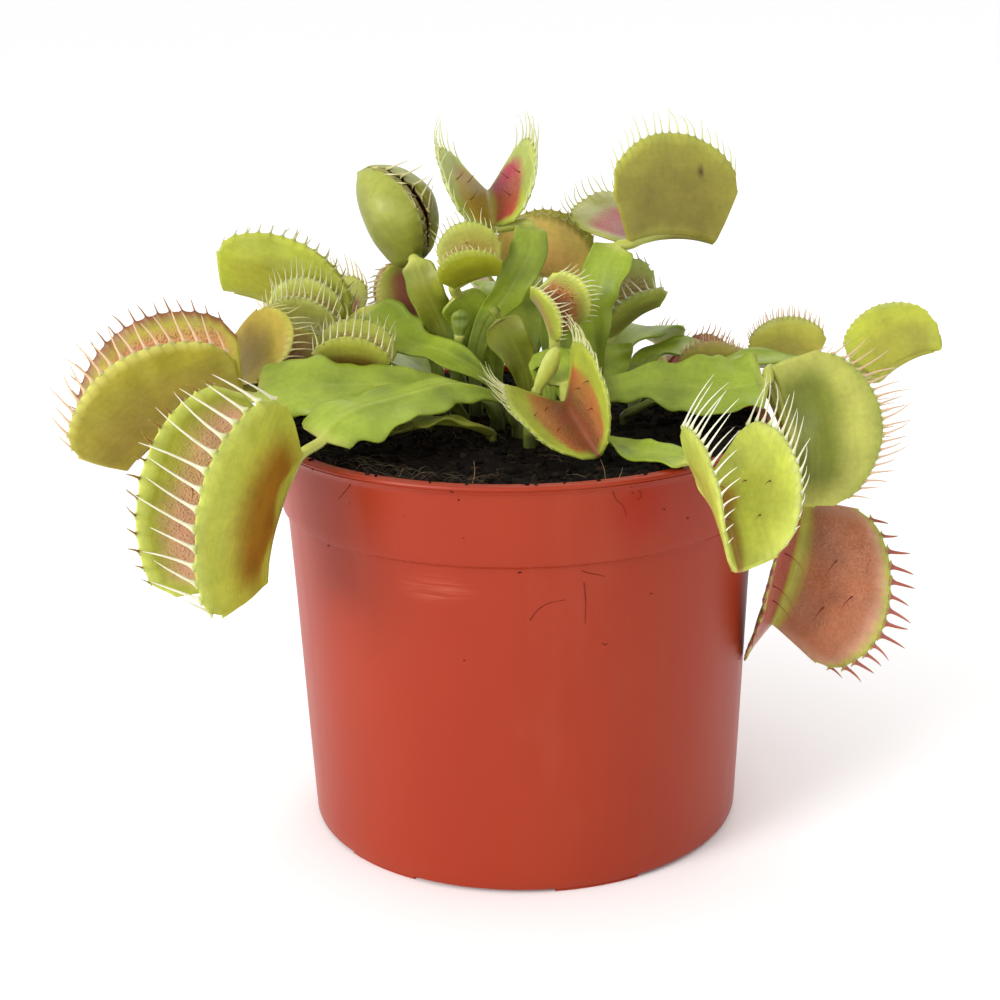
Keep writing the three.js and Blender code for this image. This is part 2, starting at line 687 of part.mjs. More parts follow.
const group = new THREE.Group();
group.name = 'venus_flytrap_in_pot';

const plastic = { color: 0xb9492f, roughness: 0.38, metalness: 0 };
const peat = { color: 0x1d1613, roughness: 0.95, metalness: 0 };
const foliage = { color: 0x9dbb3c, roughness: 0.45, metalness: 0 };

group.add(meshOf('pot', makePot(), plastic));
group.add(meshOf('soil', makeSoil(Object.values(leaves).map((leaf) => leaf.foot)), peat));
Object.entries(leaves).forEach(([name, leaf], index) => {
  group.add(meshOf(name, makeLeaf(leaf, seeded(100 + index * 37)), foliage));
});

export default group;
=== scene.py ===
# A venus flytrap in a plastic nursery pot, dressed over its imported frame: smooth pot, crumbly peat,
# and every leaf with its waved blade, veined skin, curved teeth, gland-dotted lining and trigger hairs.
import math

import bpy
from mathutils import Matrix, Vector, noise


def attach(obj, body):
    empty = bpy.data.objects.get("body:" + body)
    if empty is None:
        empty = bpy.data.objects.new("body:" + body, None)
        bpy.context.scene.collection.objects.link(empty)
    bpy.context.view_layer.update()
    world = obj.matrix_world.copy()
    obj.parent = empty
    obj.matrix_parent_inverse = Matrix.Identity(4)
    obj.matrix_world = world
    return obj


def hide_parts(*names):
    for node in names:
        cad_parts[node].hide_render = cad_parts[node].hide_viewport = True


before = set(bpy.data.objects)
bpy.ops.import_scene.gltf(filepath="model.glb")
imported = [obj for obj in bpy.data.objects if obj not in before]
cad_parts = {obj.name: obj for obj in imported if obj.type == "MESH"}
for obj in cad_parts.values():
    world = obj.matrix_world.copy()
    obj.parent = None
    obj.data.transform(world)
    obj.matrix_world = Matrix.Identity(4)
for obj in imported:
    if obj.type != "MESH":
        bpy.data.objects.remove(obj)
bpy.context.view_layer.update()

mm = 0.001


def colour(red, green, blue):  # 0 to 255 as read, to the linear values that a shader takes
    def linear(value):
        part = value / 255
        return part / 12.92 if part <= 0.04045 else ((part + 0.055) / 1.055) ** 2.4
    return Vector((linear(red), linear(green), linear(blue)))


def ramp(stops, place):  # a value between stops of (place, value), eased from one to the next
    if place <= stops[0][0]:
        return stops[0][1]
    for (low, before), (high, after) in zip(stops, stops[1:]):
        if place <= high:
            share = (place - low) / (high - low)
            share = share * share * (3 - 2 * share)
            return before + (after - before) * share
    return stops[-1][1]


def bell(x):
    return math.exp(-x ** 2)


def noiseAt(*place):
    return noise.noise(Vector(place))


def cleared():
    for thing in bpy.context.selected_objects:
        thing.select_set(False)


def shown(name, data):  # an object in the scene
    thing = bpy.data.objects.new(name, data)
    bpy.context.scene.collection.objects.link(thing)
    return thing


def alone(thing):  # selected and active by itself, ready for an operator
    cleared()
    thing.select_set(True)
    bpy.context.view_layer.objects.active = thing


def settled(thing, node, skin):  # its finish, its body, and the imported part it replaces hidden
    thing.data.materials.clear()
    thing.data.materials.append(skin)
    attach(thing, "root")
    if node:
        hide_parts(node)


def seeded(seed):  # draws that stay the same on every run
    state = seed
    while True:
        state = (state * 16807) % 2147483647
        yield state / 2147483647


# Materials
def newSkin(name, **values):
    skin = bpy.data.materials.new(name)
    skin.use_nodes = True
    surface = skin.node_tree.nodes["Principled BSDF"]
    for socket, value in values.items():
        surface.inputs[socket.replace("_", " ")].default_value = value
    return skin, surface


def addNode(skin, kind, **values):
    node = skin.node_tree.nodes.new("ShaderNode" + kind)
    for name, value in values.items():
        if name in node.inputs:
            node.inputs[name].default_value = value
        else:
            setattr(node, name, value)
    return node


def wire(skin, outlet, inlet):
    skin.node_tree.links.new(outlet, inlet)


def noiseOn(skin, coordinates, scale, detail=3.0, stretch=(1, 1, 1)):  # scale: waves in a metre
    mapping = addNode(skin, "Mapping", Scale=stretch)
    pattern = addNode(skin, "TexNoise", Scale=scale, Detail=detail, Roughness=0.6)
    wire(skin, coordinates, mapping.inputs["Vector"])
    wire(skin, mapping.outputs["Vector"], pattern.inputs["Vector"])
    return pattern.outputs["Fac"]


def between(skin, factor, low, high, fromLow, fromHigh):
    ends = {"From Min": fromLow, "From Max": fromHigh, "To Min": low, "To Max": high}
    spread = addNode(skin, "MapRange", **ends)
    wire(skin, factor, spread.inputs["Value"])
    return spread.outputs["Result"]


def feed(skin, value, inlet):  # a socket is wired, a number or a colour is set
    if isinstance(value, bpy.types.NodeSocket):
        wire(skin, value, inlet)
    else:
        inlet.default_value = (*value, 1) if isinstance(value, Vector) else value


def multiplied(skin, first, second):
    times = addNode(skin, "Math", operation="MULTIPLY")
    feed(skin, first, times.inputs[0])
    feed(skin, second, times.inputs[1])
    return times.outputs[0]


def mixed(skin, factor, first, second, blend="MIX"):  # two colours, each a socket or a fixed colour
    mix = addNode(skin, "Mix", data_type="RGBA", blend_type=blend)
    feed(skin, factor, mix.inputs[0])
    feed(skin, first, mix.inputs[6])
    feed(skin, second, mix.inputs[7])
    return mix.outputs[2]


def raised(skin, surface, height, depth, below=None):  # bump by a height socket, in metres
    bump = addNode(skin, "Bump", Strength=1.0, Distance=depth)
    wire(skin, height, bump.inputs["Height"])
    if below:
        wire(skin, below, bump.inputs["Normal"])
    wire(skin, bump.outputs["Normal"], surface.inputs["Normal"])
    return bump.outputs["Normal"]


leafFinish = {
    "brightness": 0.74, "mottle": 170, "mottleDepth": 0.15, "vein": 900, "granule": 2100,
    "glandColour": (112, 34, 26), "paintedSheenColour": (214, 170, 140), "roughness": 0.42, "shine": 0.3,
    "glow": 0.3, "glowReach": 0.0016, "freckle": 1100, "sheen": 2600, "sheenDepth": 0.35,
    "dotDepth": 0.2, "pimple": 0.00016, "line": 0.00006, "pore": 1500, "poreDepth": 0.00003,
}


def makeLeafSkin():
    skin, surface = newSkin(
        "leafSkin", Roughness=leafFinish["roughness"], Specular_IOR_Level=leafFinish["shine"],
        Subsurface_Weight=leafFinish["glow"], Subsurface_Scale=leafFinish["glowReach"],
        Subsurface_Radius=(1.0, 0.85, 0.25),
    )
    tint = addNode(skin, "Attribute", attribute_name="tint").outputs["Color"]
    grain = addNode(skin, "Attribute", attribute_name="grain").outputs["Fac"]
    place = addNode(skin, "Attribute", attribute_name="place").outputs["Vector"]
    spot = addNode(skin, "TexCoord").outputs["Object"]
    full, depth = leafFinish["brightness"], leafFinish["mottleDepth"]
    patches = noiseOn(skin, spot, leafFinish["mottle"])
    mottle = between(skin, patches, full * (1 - depth), full * (1 + depth), 0.3, 0.7)
    freckles = between(skin, noiseOn(skin, spot, leafFinish["freckle"], 2.0), 0.94, 1.06, 0.3, 0.7)
    veins = noiseOn(skin, place, leafFinish["vein"], 4.0, (0.06, 1.2, 1))
    streaks = between(skin, veins, 0.95, 1.05, 0.3, 0.7)
    shade = multiplied(skin, multiplied(skin, mottle, streaks), freckles)
    fresh = mixed(skin, 1.0, tint, shade, "MULTIPLY")
    glands = addNode(skin, "TexVoronoi", Scale=leafFinish["granule"])
    wire(skin, spot, glands.inputs["Vector"])
    dots = between(skin, glands.outputs["Distance"], 1.0, 0.0, 0.15, 0.5)
    dotted = multiplied(skin, multiplied(skin, dots, grain), leafFinish["dotDepth"])
    reddened = mixed(skin, dotted, fresh, colour(*leafFinish["glandColour"]))
    # Painted highlight: a pale sheen colour mixed into the lining where the noise peaks over the glands
    glints = noiseOn(skin, spot, leafFinish["sheen"], 2.0)
    lit = between(skin, glints, 0.0, leafFinish["sheenDepth"], 0.5, 0.66)
    painted = mixed(skin, multiplied(skin, lit, grain), reddened, colour(*leafFinish["paintedSheenColour"]))
    wire(skin, painted, surface.inputs["Base Color"])
    pimples = raised(skin, surface, multiplied(skin, dots, grain), leafFinish["pimple"])
    lines = raised(skin, surface, veins, leafFinish["line"], pimples)
    raised(skin, surface, noiseOn(skin, spot, leafFinish["pore"], 2.0), leafFinish["poreDepth"], lines)
    return skin


potFinish = {
    "body": (147, 47, 20), "deep": (141, 41, 16), "dust": (206, 150, 128), "stain": (146, 32, 4),
    "scuff": (205, 120, 96), "shine": 0.22, "roughest": 0.41, "smoothest": 0.34, "drift": 22,
    "haze": 60, "hazeDepth": 0.06, "stroke": 300, "scuffDepth": 0.32, "stainDepth": 0.8,
    "wear": 160, "ripple": 200, "rippleDepth": 0.00001,
    "stainPatch": {"centre": (0.0195, -0.039, 0.0685), "size": (0.0055, 0.02, 0.0065), "edge": 0.6},
    "scuffPatch": {"centre": (-0.0135, -0.0405, 0.0555), "size": (0.0075, 0.02, 0.0028), "edge": 0.8},
}


def patchOn(skin, spot, centre, size, edge):  # 1 inside an ellipsoid, fading to 0 at its edge
    mapping = addNode(skin, "Mapping", vector_type="TEXTURE", Location=centre, Scale=size)
    ball = addNode(skin, "VectorMath", operation="LENGTH")
    wire(skin, spot, mapping.inputs["Vector"])
    wire(skin, mapping.outputs["Vector"], ball.inputs[0])
    return between(skin, ball.outputs["Value"], 1.0, 0.0, 1 - edge, 1.0)


def makePotSkin():
    skin, surface = newSkin("potPlastic", Specular_IOR_Level=potFinish["shine"])
    spot = addNode(skin, "TexCoord").outputs["Object"]
    drift = noiseOn(skin, spot, potFinish["drift"], 3.0, (1, 1, 0.5))
    body = mixed(skin, between(skin, drift, 0.0, 1.0, 0.35, 0.65), colour(*potFinish["deep"]),
                 colour(*potFinish["body"]))
    stain = multiplied(skin, patchOn(skin, spot, **potFinish["stainPatch"]), potFinish["stainDepth"])
    stained = mixed(skin, stain, body, colour(*potFinish["stain"]))
    haze = noiseOn(skin, spot, potFinish["haze"], 6.0, (1, 1, 0.25))
    haze = multiplied(skin, between(skin, haze, 0, 1, 0.55, 0.85), potFinish["hazeDepth"])
    dusty = mixed(skin, haze, stained, colour(*potFinish["dust"]))
    strokes = noiseOn(skin, spot, potFinish["stroke"], 5.0, (0.3, 0.3, 9))
    strokes = between(skin, strokes, 0, 1, 0.45, 0.7)
    rubbed = multiplied(skin, strokes, patchOn(skin, spot, **potFinish["scuffPatch"]))
    scuff = multiplied(skin, rubbed, potFinish["scuffDepth"])
    scuffed = mixed(skin, scuff, dusty, colour(*potFinish["scuff"]))
    wire(skin, scuffed, surface.inputs["Base Color"])
    wear = noiseOn(skin, spot, potFinish["wear"], 6.0, (1, 1, 0.2))
    rough = between(skin, wear, potFinish["smoothest"], potFinish["roughest"], 0.3, 0.7)
    wire(skin, rough, surface.inputs["Roughness"])
    raised(skin, surface, noiseOn(skin, spot, potFinish["ripple"], 2.0), potFinish["rippleDepth"])
    return skin


peatFinish = {
    "roughness": 0.92, "shine": 0.08, "crumb": 900, "darkest": 0.45, "palest": 1.5, "depth": 0.0003,
}


def makePeatSkin():
    skin, surface = newSkin(
        "peat", Roughness=peatFinish["roughness"], Specular_IOR_Level=peatFinish["shine"])
    tint = addNode(skin, "Attribute", attribute_name="tint").outputs["Color"]
    spot = addNode(skin, "TexCoord").outputs["Object"]
    crumbs = noiseOn(skin, spot, peatFinish["crumb"], 5.0)
    shade = between(skin, crumbs, peatFinish["darkest"], peatFinish["palest"], 0.3, 0.7)
    wire(skin, mixed(skin, 1.0, tint, shade, "MULTIPLY"), surface.inputs["Base Color"])
    raised(skin, surface, crumbs, peatFinish["depth"])
    return skin


leafSkin = makeLeafSkin()
potPlastic = makePotSkin()
peatSkin = makePeatSkin()
print("materials ready")


# Meshes that grow by formula: points with a tint, a gland density and a place along the leaf
def newForm():
    return {"points": [], "faces": [], "tints": [], "grains": [], "places": []}


def addPoint(form, point, tint, grain=0.0, place=(0, 0, 0)):
    form["points"].append(point * mm)
    form["tints"].append(tint)
    form["grains"].append(grain)
    form["places"].append(place)
    return len(form["points"]) - 1


def addFaces(form, faces):  # a closed skin, turned to face outwards
    points = form["points"]
    volume = 0.0
    for face in faces:
        for second, third in zip(face[1:], face[2:]):
            volume += points[face[0]].dot(points[second].cross(points[third]))
    form["faces"].extend(faces if volume > 0 else [tuple(reversed(face)) for face in faces])


def joinRings(rings):
    faces = []
    for here, there in zip(rings, rings[1:]):
        for corner in range(len(here)):
            after = (corner + 1) % len(here)
            faces.append((here[corner], here[after], there[after], there[corner]))
    return faces


def addSheet(form, rings):  # each ring crosses one face, then the other, with a point on each edge
    faces = joinRings(rings)
    half = len(rings[0]) // 2
    last = len(rings[0]) - 1
    for ring, flip in ((rings[0], True), (rings[-1], False)):
        strip = [(ring[i], ring[i + 1], ring[last - i - 2], ring[last - i - 1]) for i in range(half - 2)]
        strip += [(ring[half - 2], ring[half - 1], ring[half]), (ring[0], ring[last - 1], ring[last])]
        faces += [tuple(reversed(face)) for face in strip] if flip else strip
    addFaces(form, faces)


def addSpike(form, centres, sizes, wide, thick, tints, sides=8):  # tapers, closed at both ends
    rings = []
    for centre, (halfWide, halfThick), tint in zip(centres, sizes, tints):
        ring = []
        for side in range(sides):
            angle = side / sides * math.tau
            offset = wide * (halfWide * math.cos(angle)) + thick * (halfThick * math.sin(angle))
            ring.append(addPoint(form, centre + offset, tint))
        rings.append(ring)
    faces = joinRings(rings)
    faces.append(tuple(reversed(rings[0])))
    faces.append(tuple(rings[-1]))
    addFaces(form, faces)


def finished(form, name):
    mesh = bpy.data.meshes.new(name)
    mesh.from_pydata(form["points"], [], form["faces"])
    tints = [value for tint in form["tints"] for value in (*tint, 1)]
    places = [value for place in form["places"] for value in place]
    for attribute, kind, field, values in (
        ("tint", "FLOAT_COLOR", "color", tints), ("grain", "FLOAT", "value", form["grains"]),
        ("place", "FLOAT_VECTOR", "vector", places),
    ):
        mesh.attributes.new(attribute, kind, "POINT").data.foreach_set(field, values)
    mesh.update()
    thing = shown(name, mesh)
    alone(thing)
    bpy.ops.object.shade_smooth()
    return thing


# Leaves, in millimetres and degrees: the foot on the soil, the line of the stalk, half the blade's
# width, and the trap by its hinge, the way it opens, its lobes and its teeth.
soilTop = 72.4
footHalfWidth = 1.25
stemHalfWidth = 0.95
hingeRadius = 1.2
leafLook = {  # for each leaf that says nothing else
    # The stalk's base colour is painted darker than the stalk, as shade at the foot of the stalks
    "blade": (158, 178, 54), "bladeDark": (118, 138, 40), "shadedBladeBase": (116, 120, 52),
    "neck": (192, 196, 92), "back": (178, 182, 66), "heart": (156, 140, 48), "rim": (194, 200, 86),
    "lining": (176, 108, 62), "lip": (184, 190, 78), "groove": (170, 150, 66),
    "tooth": (224, 216, 158), "hair": (116, 40, 28), "lipWidth": 0.3, "rimWidth": 0.06,
    "flush": 0.25, "granules": 1.0, "toothReach": 1.0, "otherReach": 1.0, "toothWidth": 1.0,
    "sweep": (0, 0, 0), "curl": 0.8, "hairReach": 1.0, "spots": (),
}

leaves = {
    "leaf_left_front": dict(
        foot=(0, -4),
        path=((-2, -4.5, 77.5), (-10, -10, 82), (-20, -18.5, 82), (-28.5, -26, 81), (-32.5, -29.8, 77.8)),
        wide=6.3, up=(-0.1, -0.45, 0.9),
        trap=dict(base=(-36, -33, 76.5), end=(-42, -38.7, 57), open=(-0.78, -0.63, 0.1), arch=1.5,
            deep=22.5, gape=43, bow=40, ends=(0.6, 0.68), flare=(0.6, 0.44), teeth=15, tooth=9,
            otherTooth=3.6, lean=30),
        look=dict(blade=(176, 196, 66), bladeDark=(136, 156, 46), back=(194, 200, 72),
            heart=(158, 114, 26), rim=(204, 212, 98), lining=(212, 164, 128), lip=(170, 176, 56),
            tooth=(238, 234, 204), otherTooth=(150, 104, 62), lipWidth=0.2, granules=0.6,
            toothReach=0.78, toothWidth=0.85, sweep=(-0.1, 0, 0.36), curl=0.4)),
    "leaf_left": dict(
        foot=(-4, 0),
        path=((-6, -1, 77.5), (-18, -7, 81.5), (-30, -11, 82.8), (-38, -12, 82.8), (-45.6, -12, 81.2)),
        wide=6.4, up=(0, -0.5, 0.87),
        trap=dict(base=(-48, -12, 82), end=(-68.8, -13, 69.5), open=(-0.3, -0.15, 0.95), deep=19, gape=44,
            bow=36, flare=(0.4, 0.35), teeth=18, tooth=4.4, otherTooth=2.4, lean=10),
        look=dict(blade=(160, 178, 56), bladeDark=(126, 146, 44), back=(176, 166, 50),
            otherBack=(168, 140, 60), heart=(172, 156, 48), rim=(212, 206, 104), otherRim=(142, 84, 46),
            lining=(206, 130, 88), lip=(184, 176, 64), tooth=(236, 190, 160), otherTooth=(150, 92, 72),
            lipWidth=0.14, rimWidth=0.08, toothReach=1.12, otherReach=0.85, toothWidth=0.8,
            sweep=(0, 0, 0.15), curl=0.5)),
    "leaf_left_upper": dict(
        foot=(-3, 5),
        path=((-5, 4, 79.5), (-12.5, 4, 84.5), (-20.5, 9, 86.5), (-26, 14, 90.5), (-28, 15.5, 91)),
        wide=4.6, up=(0.2, -0.55, 0.8),
        trap=dict(base=(-37, 21, 85.4), end=(-55.4, 23.2, 94.6), open=(0.05, 0.2, 1), deep=12.9, gape=32,
            bow=46, flare=(0.42, 0.5), teeth=14, tooth=2, lean=5),
        look=dict(back=(178, 186, 54), heart=(160, 160, 44), rim=(198, 204, 78), tooth=(200, 196, 150))),
    "leaf_left_inner": dict(
        foot=(-16, 0), path=((-22, 1, 77), (-32, 1.5, 78), (-42, 2, 78.5)), wide=3.6,
        trap=dict(base=(-50.8, 3.8, 80), end=(-51.3, 8.8, 87.5), open=(0.9, -0.12, 0.45), deep=16.2,
            gape=38, bow=34, flare=(0.25, 0.25), teeth=14, tooth=3.4, lean=15),
        look=dict(back=(182, 160, 50), heart=(158, 132, 30), rim=(192, 188, 76), lining=(122, 70, 32),
            lip=(160, 134, 58), tooth=(206, 196, 136))),
    "leaf_left_behind": dict(
        foot=(-14, 6), path=((-22, 7, 79.5), (-28, 11, 82.3), (-31, 12.4, 85.4)), wide=2.6,
        trap=dict(base=(-34.2, 15.8, 86.8), end=(-44.7, 16.1, 88.2), open=(0.15, -0.3, 0.95), deep=9,
            gape=36, bow=34, flare=(0.2, 0.42), teeth=15, tooth=4.2, lean=10),
        look=dict(back=(196, 200, 92), heart=(184, 188, 78), rim=(198, 202, 104), lining=(150, 130, 56),
            tooth=(226, 222, 170))),
    "leaf_left_small": dict(
        foot=(-10, 3), path=((-13, 1.5, 78), (-18, 0, 80), (-22, 0, 81)), wide=2.2,
        trap=dict(base=(-24.7, 0.8, 81.7), end=(-34.3, 1.2, 82.8), open=(-0.35, -0.15, 0.9), deep=9.5,
            gape=40, bow=36, teeth=13, tooth=4, lean=26),
        look=dict(back=(176, 178, 68), heart=(130, 102, 34), rim=(178, 182, 74), lining=(140, 84, 40),
            tooth=(216, 210, 156))),
    "leaf_top_left": dict(
        foot=(-10, 12), path=((-12, 12.5, 82), (-14.3, 12.6, 89), (-17, 9.5, 96.5), (-18.5, 10.5, 101)),
        wide=3.3, up=(0, -1, 0.2), stem=((-19.6, 18, 100),),
        trap=dict(base=(-21.8, 24, 99.2), end=(-28.4, 23.4, 115.6), open=(0.62, -0.76, 0.2), arch=-1.2,
            deep=22, gape=84, bow=166, shut=True, ends=(0.45, 0.16), flare=(0.1, 0.1), teeth=9, tooth=2,
            taper=(0.5, 1.5), lean=-40),
        look=dict(blade=(150, 154, 50), back=(166, 172, 70), heart=(152, 156, 74), rim=(176, 170, 92),
            lining=(166, 84, 56), lip=(186, 170, 104), tooth=(222, 208, 160), lipWidth=0.32,
            toothReach=1.7, sweep=(0.25, -0.25, 1.0), curl=0.4,
            spots=(((-20.9, 16.8, 114.9), 0.1, (110, 60, 30)),))),
    "leaf_top_left_small": dict(
        foot=(-15, 17), path=((-15.5, 19, 80), (-16.5, 21, 83.5), (-17.5, 22, 86.5)), wide=1.6,
        up=(0, -1, 0.2),
        trap=dict(base=(-17.4, 22.3, 88.6), end=(-21.4, 22.3, 98.4), open=(-0.9, -0.15, 0.1), deep=7.5,
            gape=34, bow=50, flare=(0.1, 0.2), teeth=14, tooth=2.4, lean=20),
        look=dict(back=(164, 170, 68), heart=(158, 92, 70), rim=(184, 162, 86), lining=(130, 60, 48),
            lip=(140, 110, 60), tooth=(204, 188, 150), toothReach=1.1)),
    "leaf_top": dict(
        foot=(-8, 9),
        path=((-8, 10, 82), (-6.5, 10.5, 88), (-1.5, 10, 95.5), (2.4, 10.4, 103), (2.4, 12.6, 107)),
        wide=3.4, up=(0.3, -0.85, 0.4),
        trap=dict(base=(-4.2, 15, 106.3), end=(-5.2, 22.8, 111.5), open=(-0.06, -0.3, 1), deep=15,
            gape=45, bow=24, ends=(0.4, 0.4), flare=(0.52, 0.5), teeth=14, tooth=4.8, lean=15),
        look=dict(back=(186, 178, 66), heart=(166, 126, 54), rim=(194, 204, 98), lining=(178, 148, 34),
            otherLining=(178, 56, 58), lip=(172, 184, 74), tooth=(220, 224, 170), granules=0.25,
            sweep=(0, 0, 0.3))),
    "leaf_middle_small": dict(
        foot=(-4, 14), path=((-5, 14.5, 82), (-8.5, 12, 89), (-11, 8.6, 95)), wide=3.8, up=(0, -1, 0.4),
        trap=dict(base=(-11.4, 6.2, 97.3), end=(-3.4, 5.5, 99.6), open=(-0.1, -0.38, 0.92), deep=9.6,
            gape=42, bow=32, flare=(0.3, 0.3), teeth=15, tooth=2.7, lean=8),
        look=dict(back=(186, 188, 50), heart=(176, 172, 44), rim=(184, 190, 80), lining=(164, 142, 46),
            lip=(170, 170, 70), tooth=(228, 222, 172), granules=0.45, otherReach=0.35)),
    "leaf_middle_young": dict(
        foot=(1, 9), path=((1.5, 6.8, 79), (-1, 5, 86), (-3.4, 4.6, 91)), wide=3.6, up=(0, -1, 0.3),
        bud=(2.6, 0.8),
        look=dict(blade=(136, 142, 44), bladeDark=(104, 108, 30), shadedBladeBase=(140, 134, 60),
            neck=(150, 150, 66), pod=(140, 148, 54), rim=(150, 150, 60))),
    "leaf_back_top": dict(
        foot=(7, 20), path=((8, 23, 81), (11, 29, 87), (13, 32, 89.8)), wide=6.2, up=(0, -1, 0.3),
        trap=dict(base=(11, 34, 92.8), end=(-1.4, 36, 94.2), open=(0.1, 0, 1), deep=12.5, gape=34, bow=46,
            teeth=14, tooth=0.9, lean=10),
        # Painted light: back and heart are raised well above this lobe's own colour, to brighten an outer
        # face that the lamps leave in shade
        look=dict(back=(250, 220, 122), otherBack=(184, 182, 78), heart=(244, 198, 116),
            rim=(176, 164, 66), lining=(176, 130, 76), tooth=(196, 190, 120))),
    "leaf_top_right": dict(
        foot=(14, 10), path=((14, 10, 82), (14, 10, 92), (16.5, 12, 99), (18.5, 14, 102.5)), wide=4.2,
        up=(-0.3, -0.9, 0.3),
        trap=dict(base=(20.5, 15, 103), end=(37, 25, 101.5), open=(-0.4, 0.42, 0.8), deep=18.5, gape=48,
            bow=28, flare=(0.5, 0.36), teeth=20, tooth=3.4, lean=6),
        look=dict(back=(166, 158, 60), heart=(150, 138, 52), rim=(196, 198, 84), lining=(184, 58, 62),
            lip=(178, 182, 88), tooth=(222, 222, 160), lipWidth=0.26, rimWidth=0.15, granules=0.3,
            toothReach=1.3, toothWidth=0.8,
            spots=(((34.3, 22.6, 115.0), 0.9, (92, 60, 30)),))),
    "leaf_right_inner": dict(
        foot=(17, 17), path=((17, 19, 78), (16.5, 20.5, 83)), wide=5, up=(0, -1, 0.3),
        trap=dict(base=(17.7, 22, 84.8), end=(26.2, 22.5, 90.2), open=(0.25, -0.35, 0.9), deep=11,
            gape=42, bow=32, teeth=13, tooth=3.6, lean=8),
        look=dict(back=(188, 196, 84), heart=(150, 146, 56), rim=(176, 184, 96), lining=(160, 146, 84),
            lip=(164, 176, 84), tooth=(232, 222, 196))),
    "leaf_middle": dict(
        foot=(9, 2), path=((8.5, 3, 78), (6.6, 3, 85.5)), wide=3.2, up=(0, -1, 0.3),
        trap=dict(base=(6.8, 2.5, 88.3), end=(3.2, 3, 95.6), open=(0.62, -0.72, 0.25), deep=9.4, gape=36,
            bow=30, ends=(0.5, 0.62), flare=(0.1, 0.36), teeth=15, tooth=3.6, taper=(0.5, 1.2), lean=6),
        look=dict(back=(184, 192, 78), heart=(180, 150, 60), rim=(210, 216, 98), lining=(200, 124, 72),
            lip=(180, 188, 86), tooth=(232, 224, 178), flush=0.4)),
    "bud_middle": dict(
        foot=(2, -11.5), path=((2, -11.7, 76), (2, -12, 79), (3.2, -12.3, 81.7)), wide=0, up=(0, -1, 0.1),
        bud=(8.5, 1.4),
        look=dict(pod=(188, 196, 84), rim=(214, 214, 130))),
    "leaf_front": dict(
        foot=(6, -4), path=((5, -3, 80), (4.5, -3, 84.5), (6.5, -7, 85.5), (8, -11.5, 82.5)), wide=3.6,
        up=(0, -0.6, 0.8),
        trap=dict(base=(8, -14.5, 80), end=(13, -28, 74.3), open=(-0.45, -0.38, 0.81), deep=12.5, gape=52,
            bow=28, ends=(0.75, 0.3), flare=(0.5, 0.1), teeth=19, tooth=5.2, taper=(1.3, 0.1), lean=8),
        look=dict(back=(156, 170, 62), rim=(180, 190, 68), lining=(178, 92, 52), lip=(174, 182, 62),
            groove=(140, 74, 40), tooth=(226, 226, 166), lipWidth=0.34, flush=0.45, granules=0.3,
            toothReach=1.15, toothWidth=0.8)),
    "leaf_right_front": dict(
        foot=(13, -14), path=((15, -20.5, 74.9), (20, -28.5, 74.8), (24.5, -33, 75.3), (27.5, -36, 75.4)),
        wide=3.2, up=(0.1, -0.5, 0.85), stem=((29, -38.4, 75.2),),
        trap=dict(base=(29.4, -39, 72.4), end=(33.9, -50, 61.5), open=(0.29, -0.52, 0.8), deep=15.8,
            gape=41, bow=30, ends=(0.68, 0.5), flare=(0.5, 0.1), teeth=17, tooth=7.4, taper=(1.2, 0.1),
            lean=26),
        look=dict(back=(192, 202, 86), heart=(184, 184, 76), rim=(202, 210, 98), lining=(220, 226, 98),
            lip=(204, 212, 88), groove=(176, 140, 58), tooth=(242, 240, 212), flush=0.0, granules=0.0,
            toothReach=1.08, toothWidth=0.85, sweep=(0.1, 0, 0.3), curl=0.5,
            spots=(((32.3, -43.0, 70.5), 2.6, (196, 148, 66)),))),
    "leaf_right": dict(
        foot=(13, -3), path=((15, -3, 78.5), (25, -5, 80.8), (35, -6.4, 80), (43.4, -6.6, 81.2)), wide=7,
        up=(0, -0.6, 0.8),
        trap=dict(base=(44.6, -4, 83.2), end=(47, -11, 60.4), open=(0.92, 0.3, 0.25), deep=16.4, gape=40,
            bow=42, flare=(0.2, 0.12), teeth=22, tooth=5, lean=8),
        look=dict(back=(188, 190, 90), heart=(116, 124, 22), rim=(186, 194, 86), lining=(172, 120, 68),
            tooth=(232, 188, 160), toothReach=1.15, toothWidth=0.8, sweep=(0.08, 0, 0.25))),
    "leaf_right_low": dict(
        foot=(19, 2), path=((25, 2, 76.5), (33, 3.5, 78), (40, 6, 79), (44.5, 8, 78)), wide=4.2,
        stem=((48.5, 8, 70),),
        trap=dict(base=(52.6, 4.6, 56), end=(46.8, 3, 32.8), open=(0.32, -0.947, 0), deep=19.5, gape=51,
            bow=24, flare=(0.12, 0.44), teeth=14, tooth=3.8, lean=-4),
        look=dict(back=(180, 104, 70), heart=(176, 96, 64), rim=(190, 192, 84), lining=(198, 126, 86),
            otherLining=(190, 76, 74), lip=(214, 168, 136), groove=(196, 190, 80), hair=(120, 24, 28),
            tooth=(168, 84, 80), lipWidth=0.1, rimWidth=0.1, flush=0.15, granules=0.5, toothReach=1.15,
            toothWidth=1.15, curl=0.35, hairReach=1.5)),
    "leaf_far_right": dict(
        foot=(21, 9), path=((27, 11.5, 79), (40, 13.2, 80.2), (54, 14, 79.4), (60, 14, 78.2)), wide=4.6,
        trap=dict(base=(66.4, 14, 77.2), end=(77.9, 14, 82.9), open=(-0.35, 0.75, 0.6), deep=12.4,
            gape=32, bow=60, ends=(0.6, 0.4), flare=(0.42, 0.25), teeth=16, tooth=1, lean=30),
        look=dict(back=(190, 196, 64), heart=(176, 174, 60), rim=(200, 206, 78), tooth=(204, 206, 96))),
    "leaf_right_back": dict(
        foot=(22, 21), path=((25.5, 29.5, 78.5), (36, 33.5, 78.5), (43, 32.5, 78.5)), wide=6,
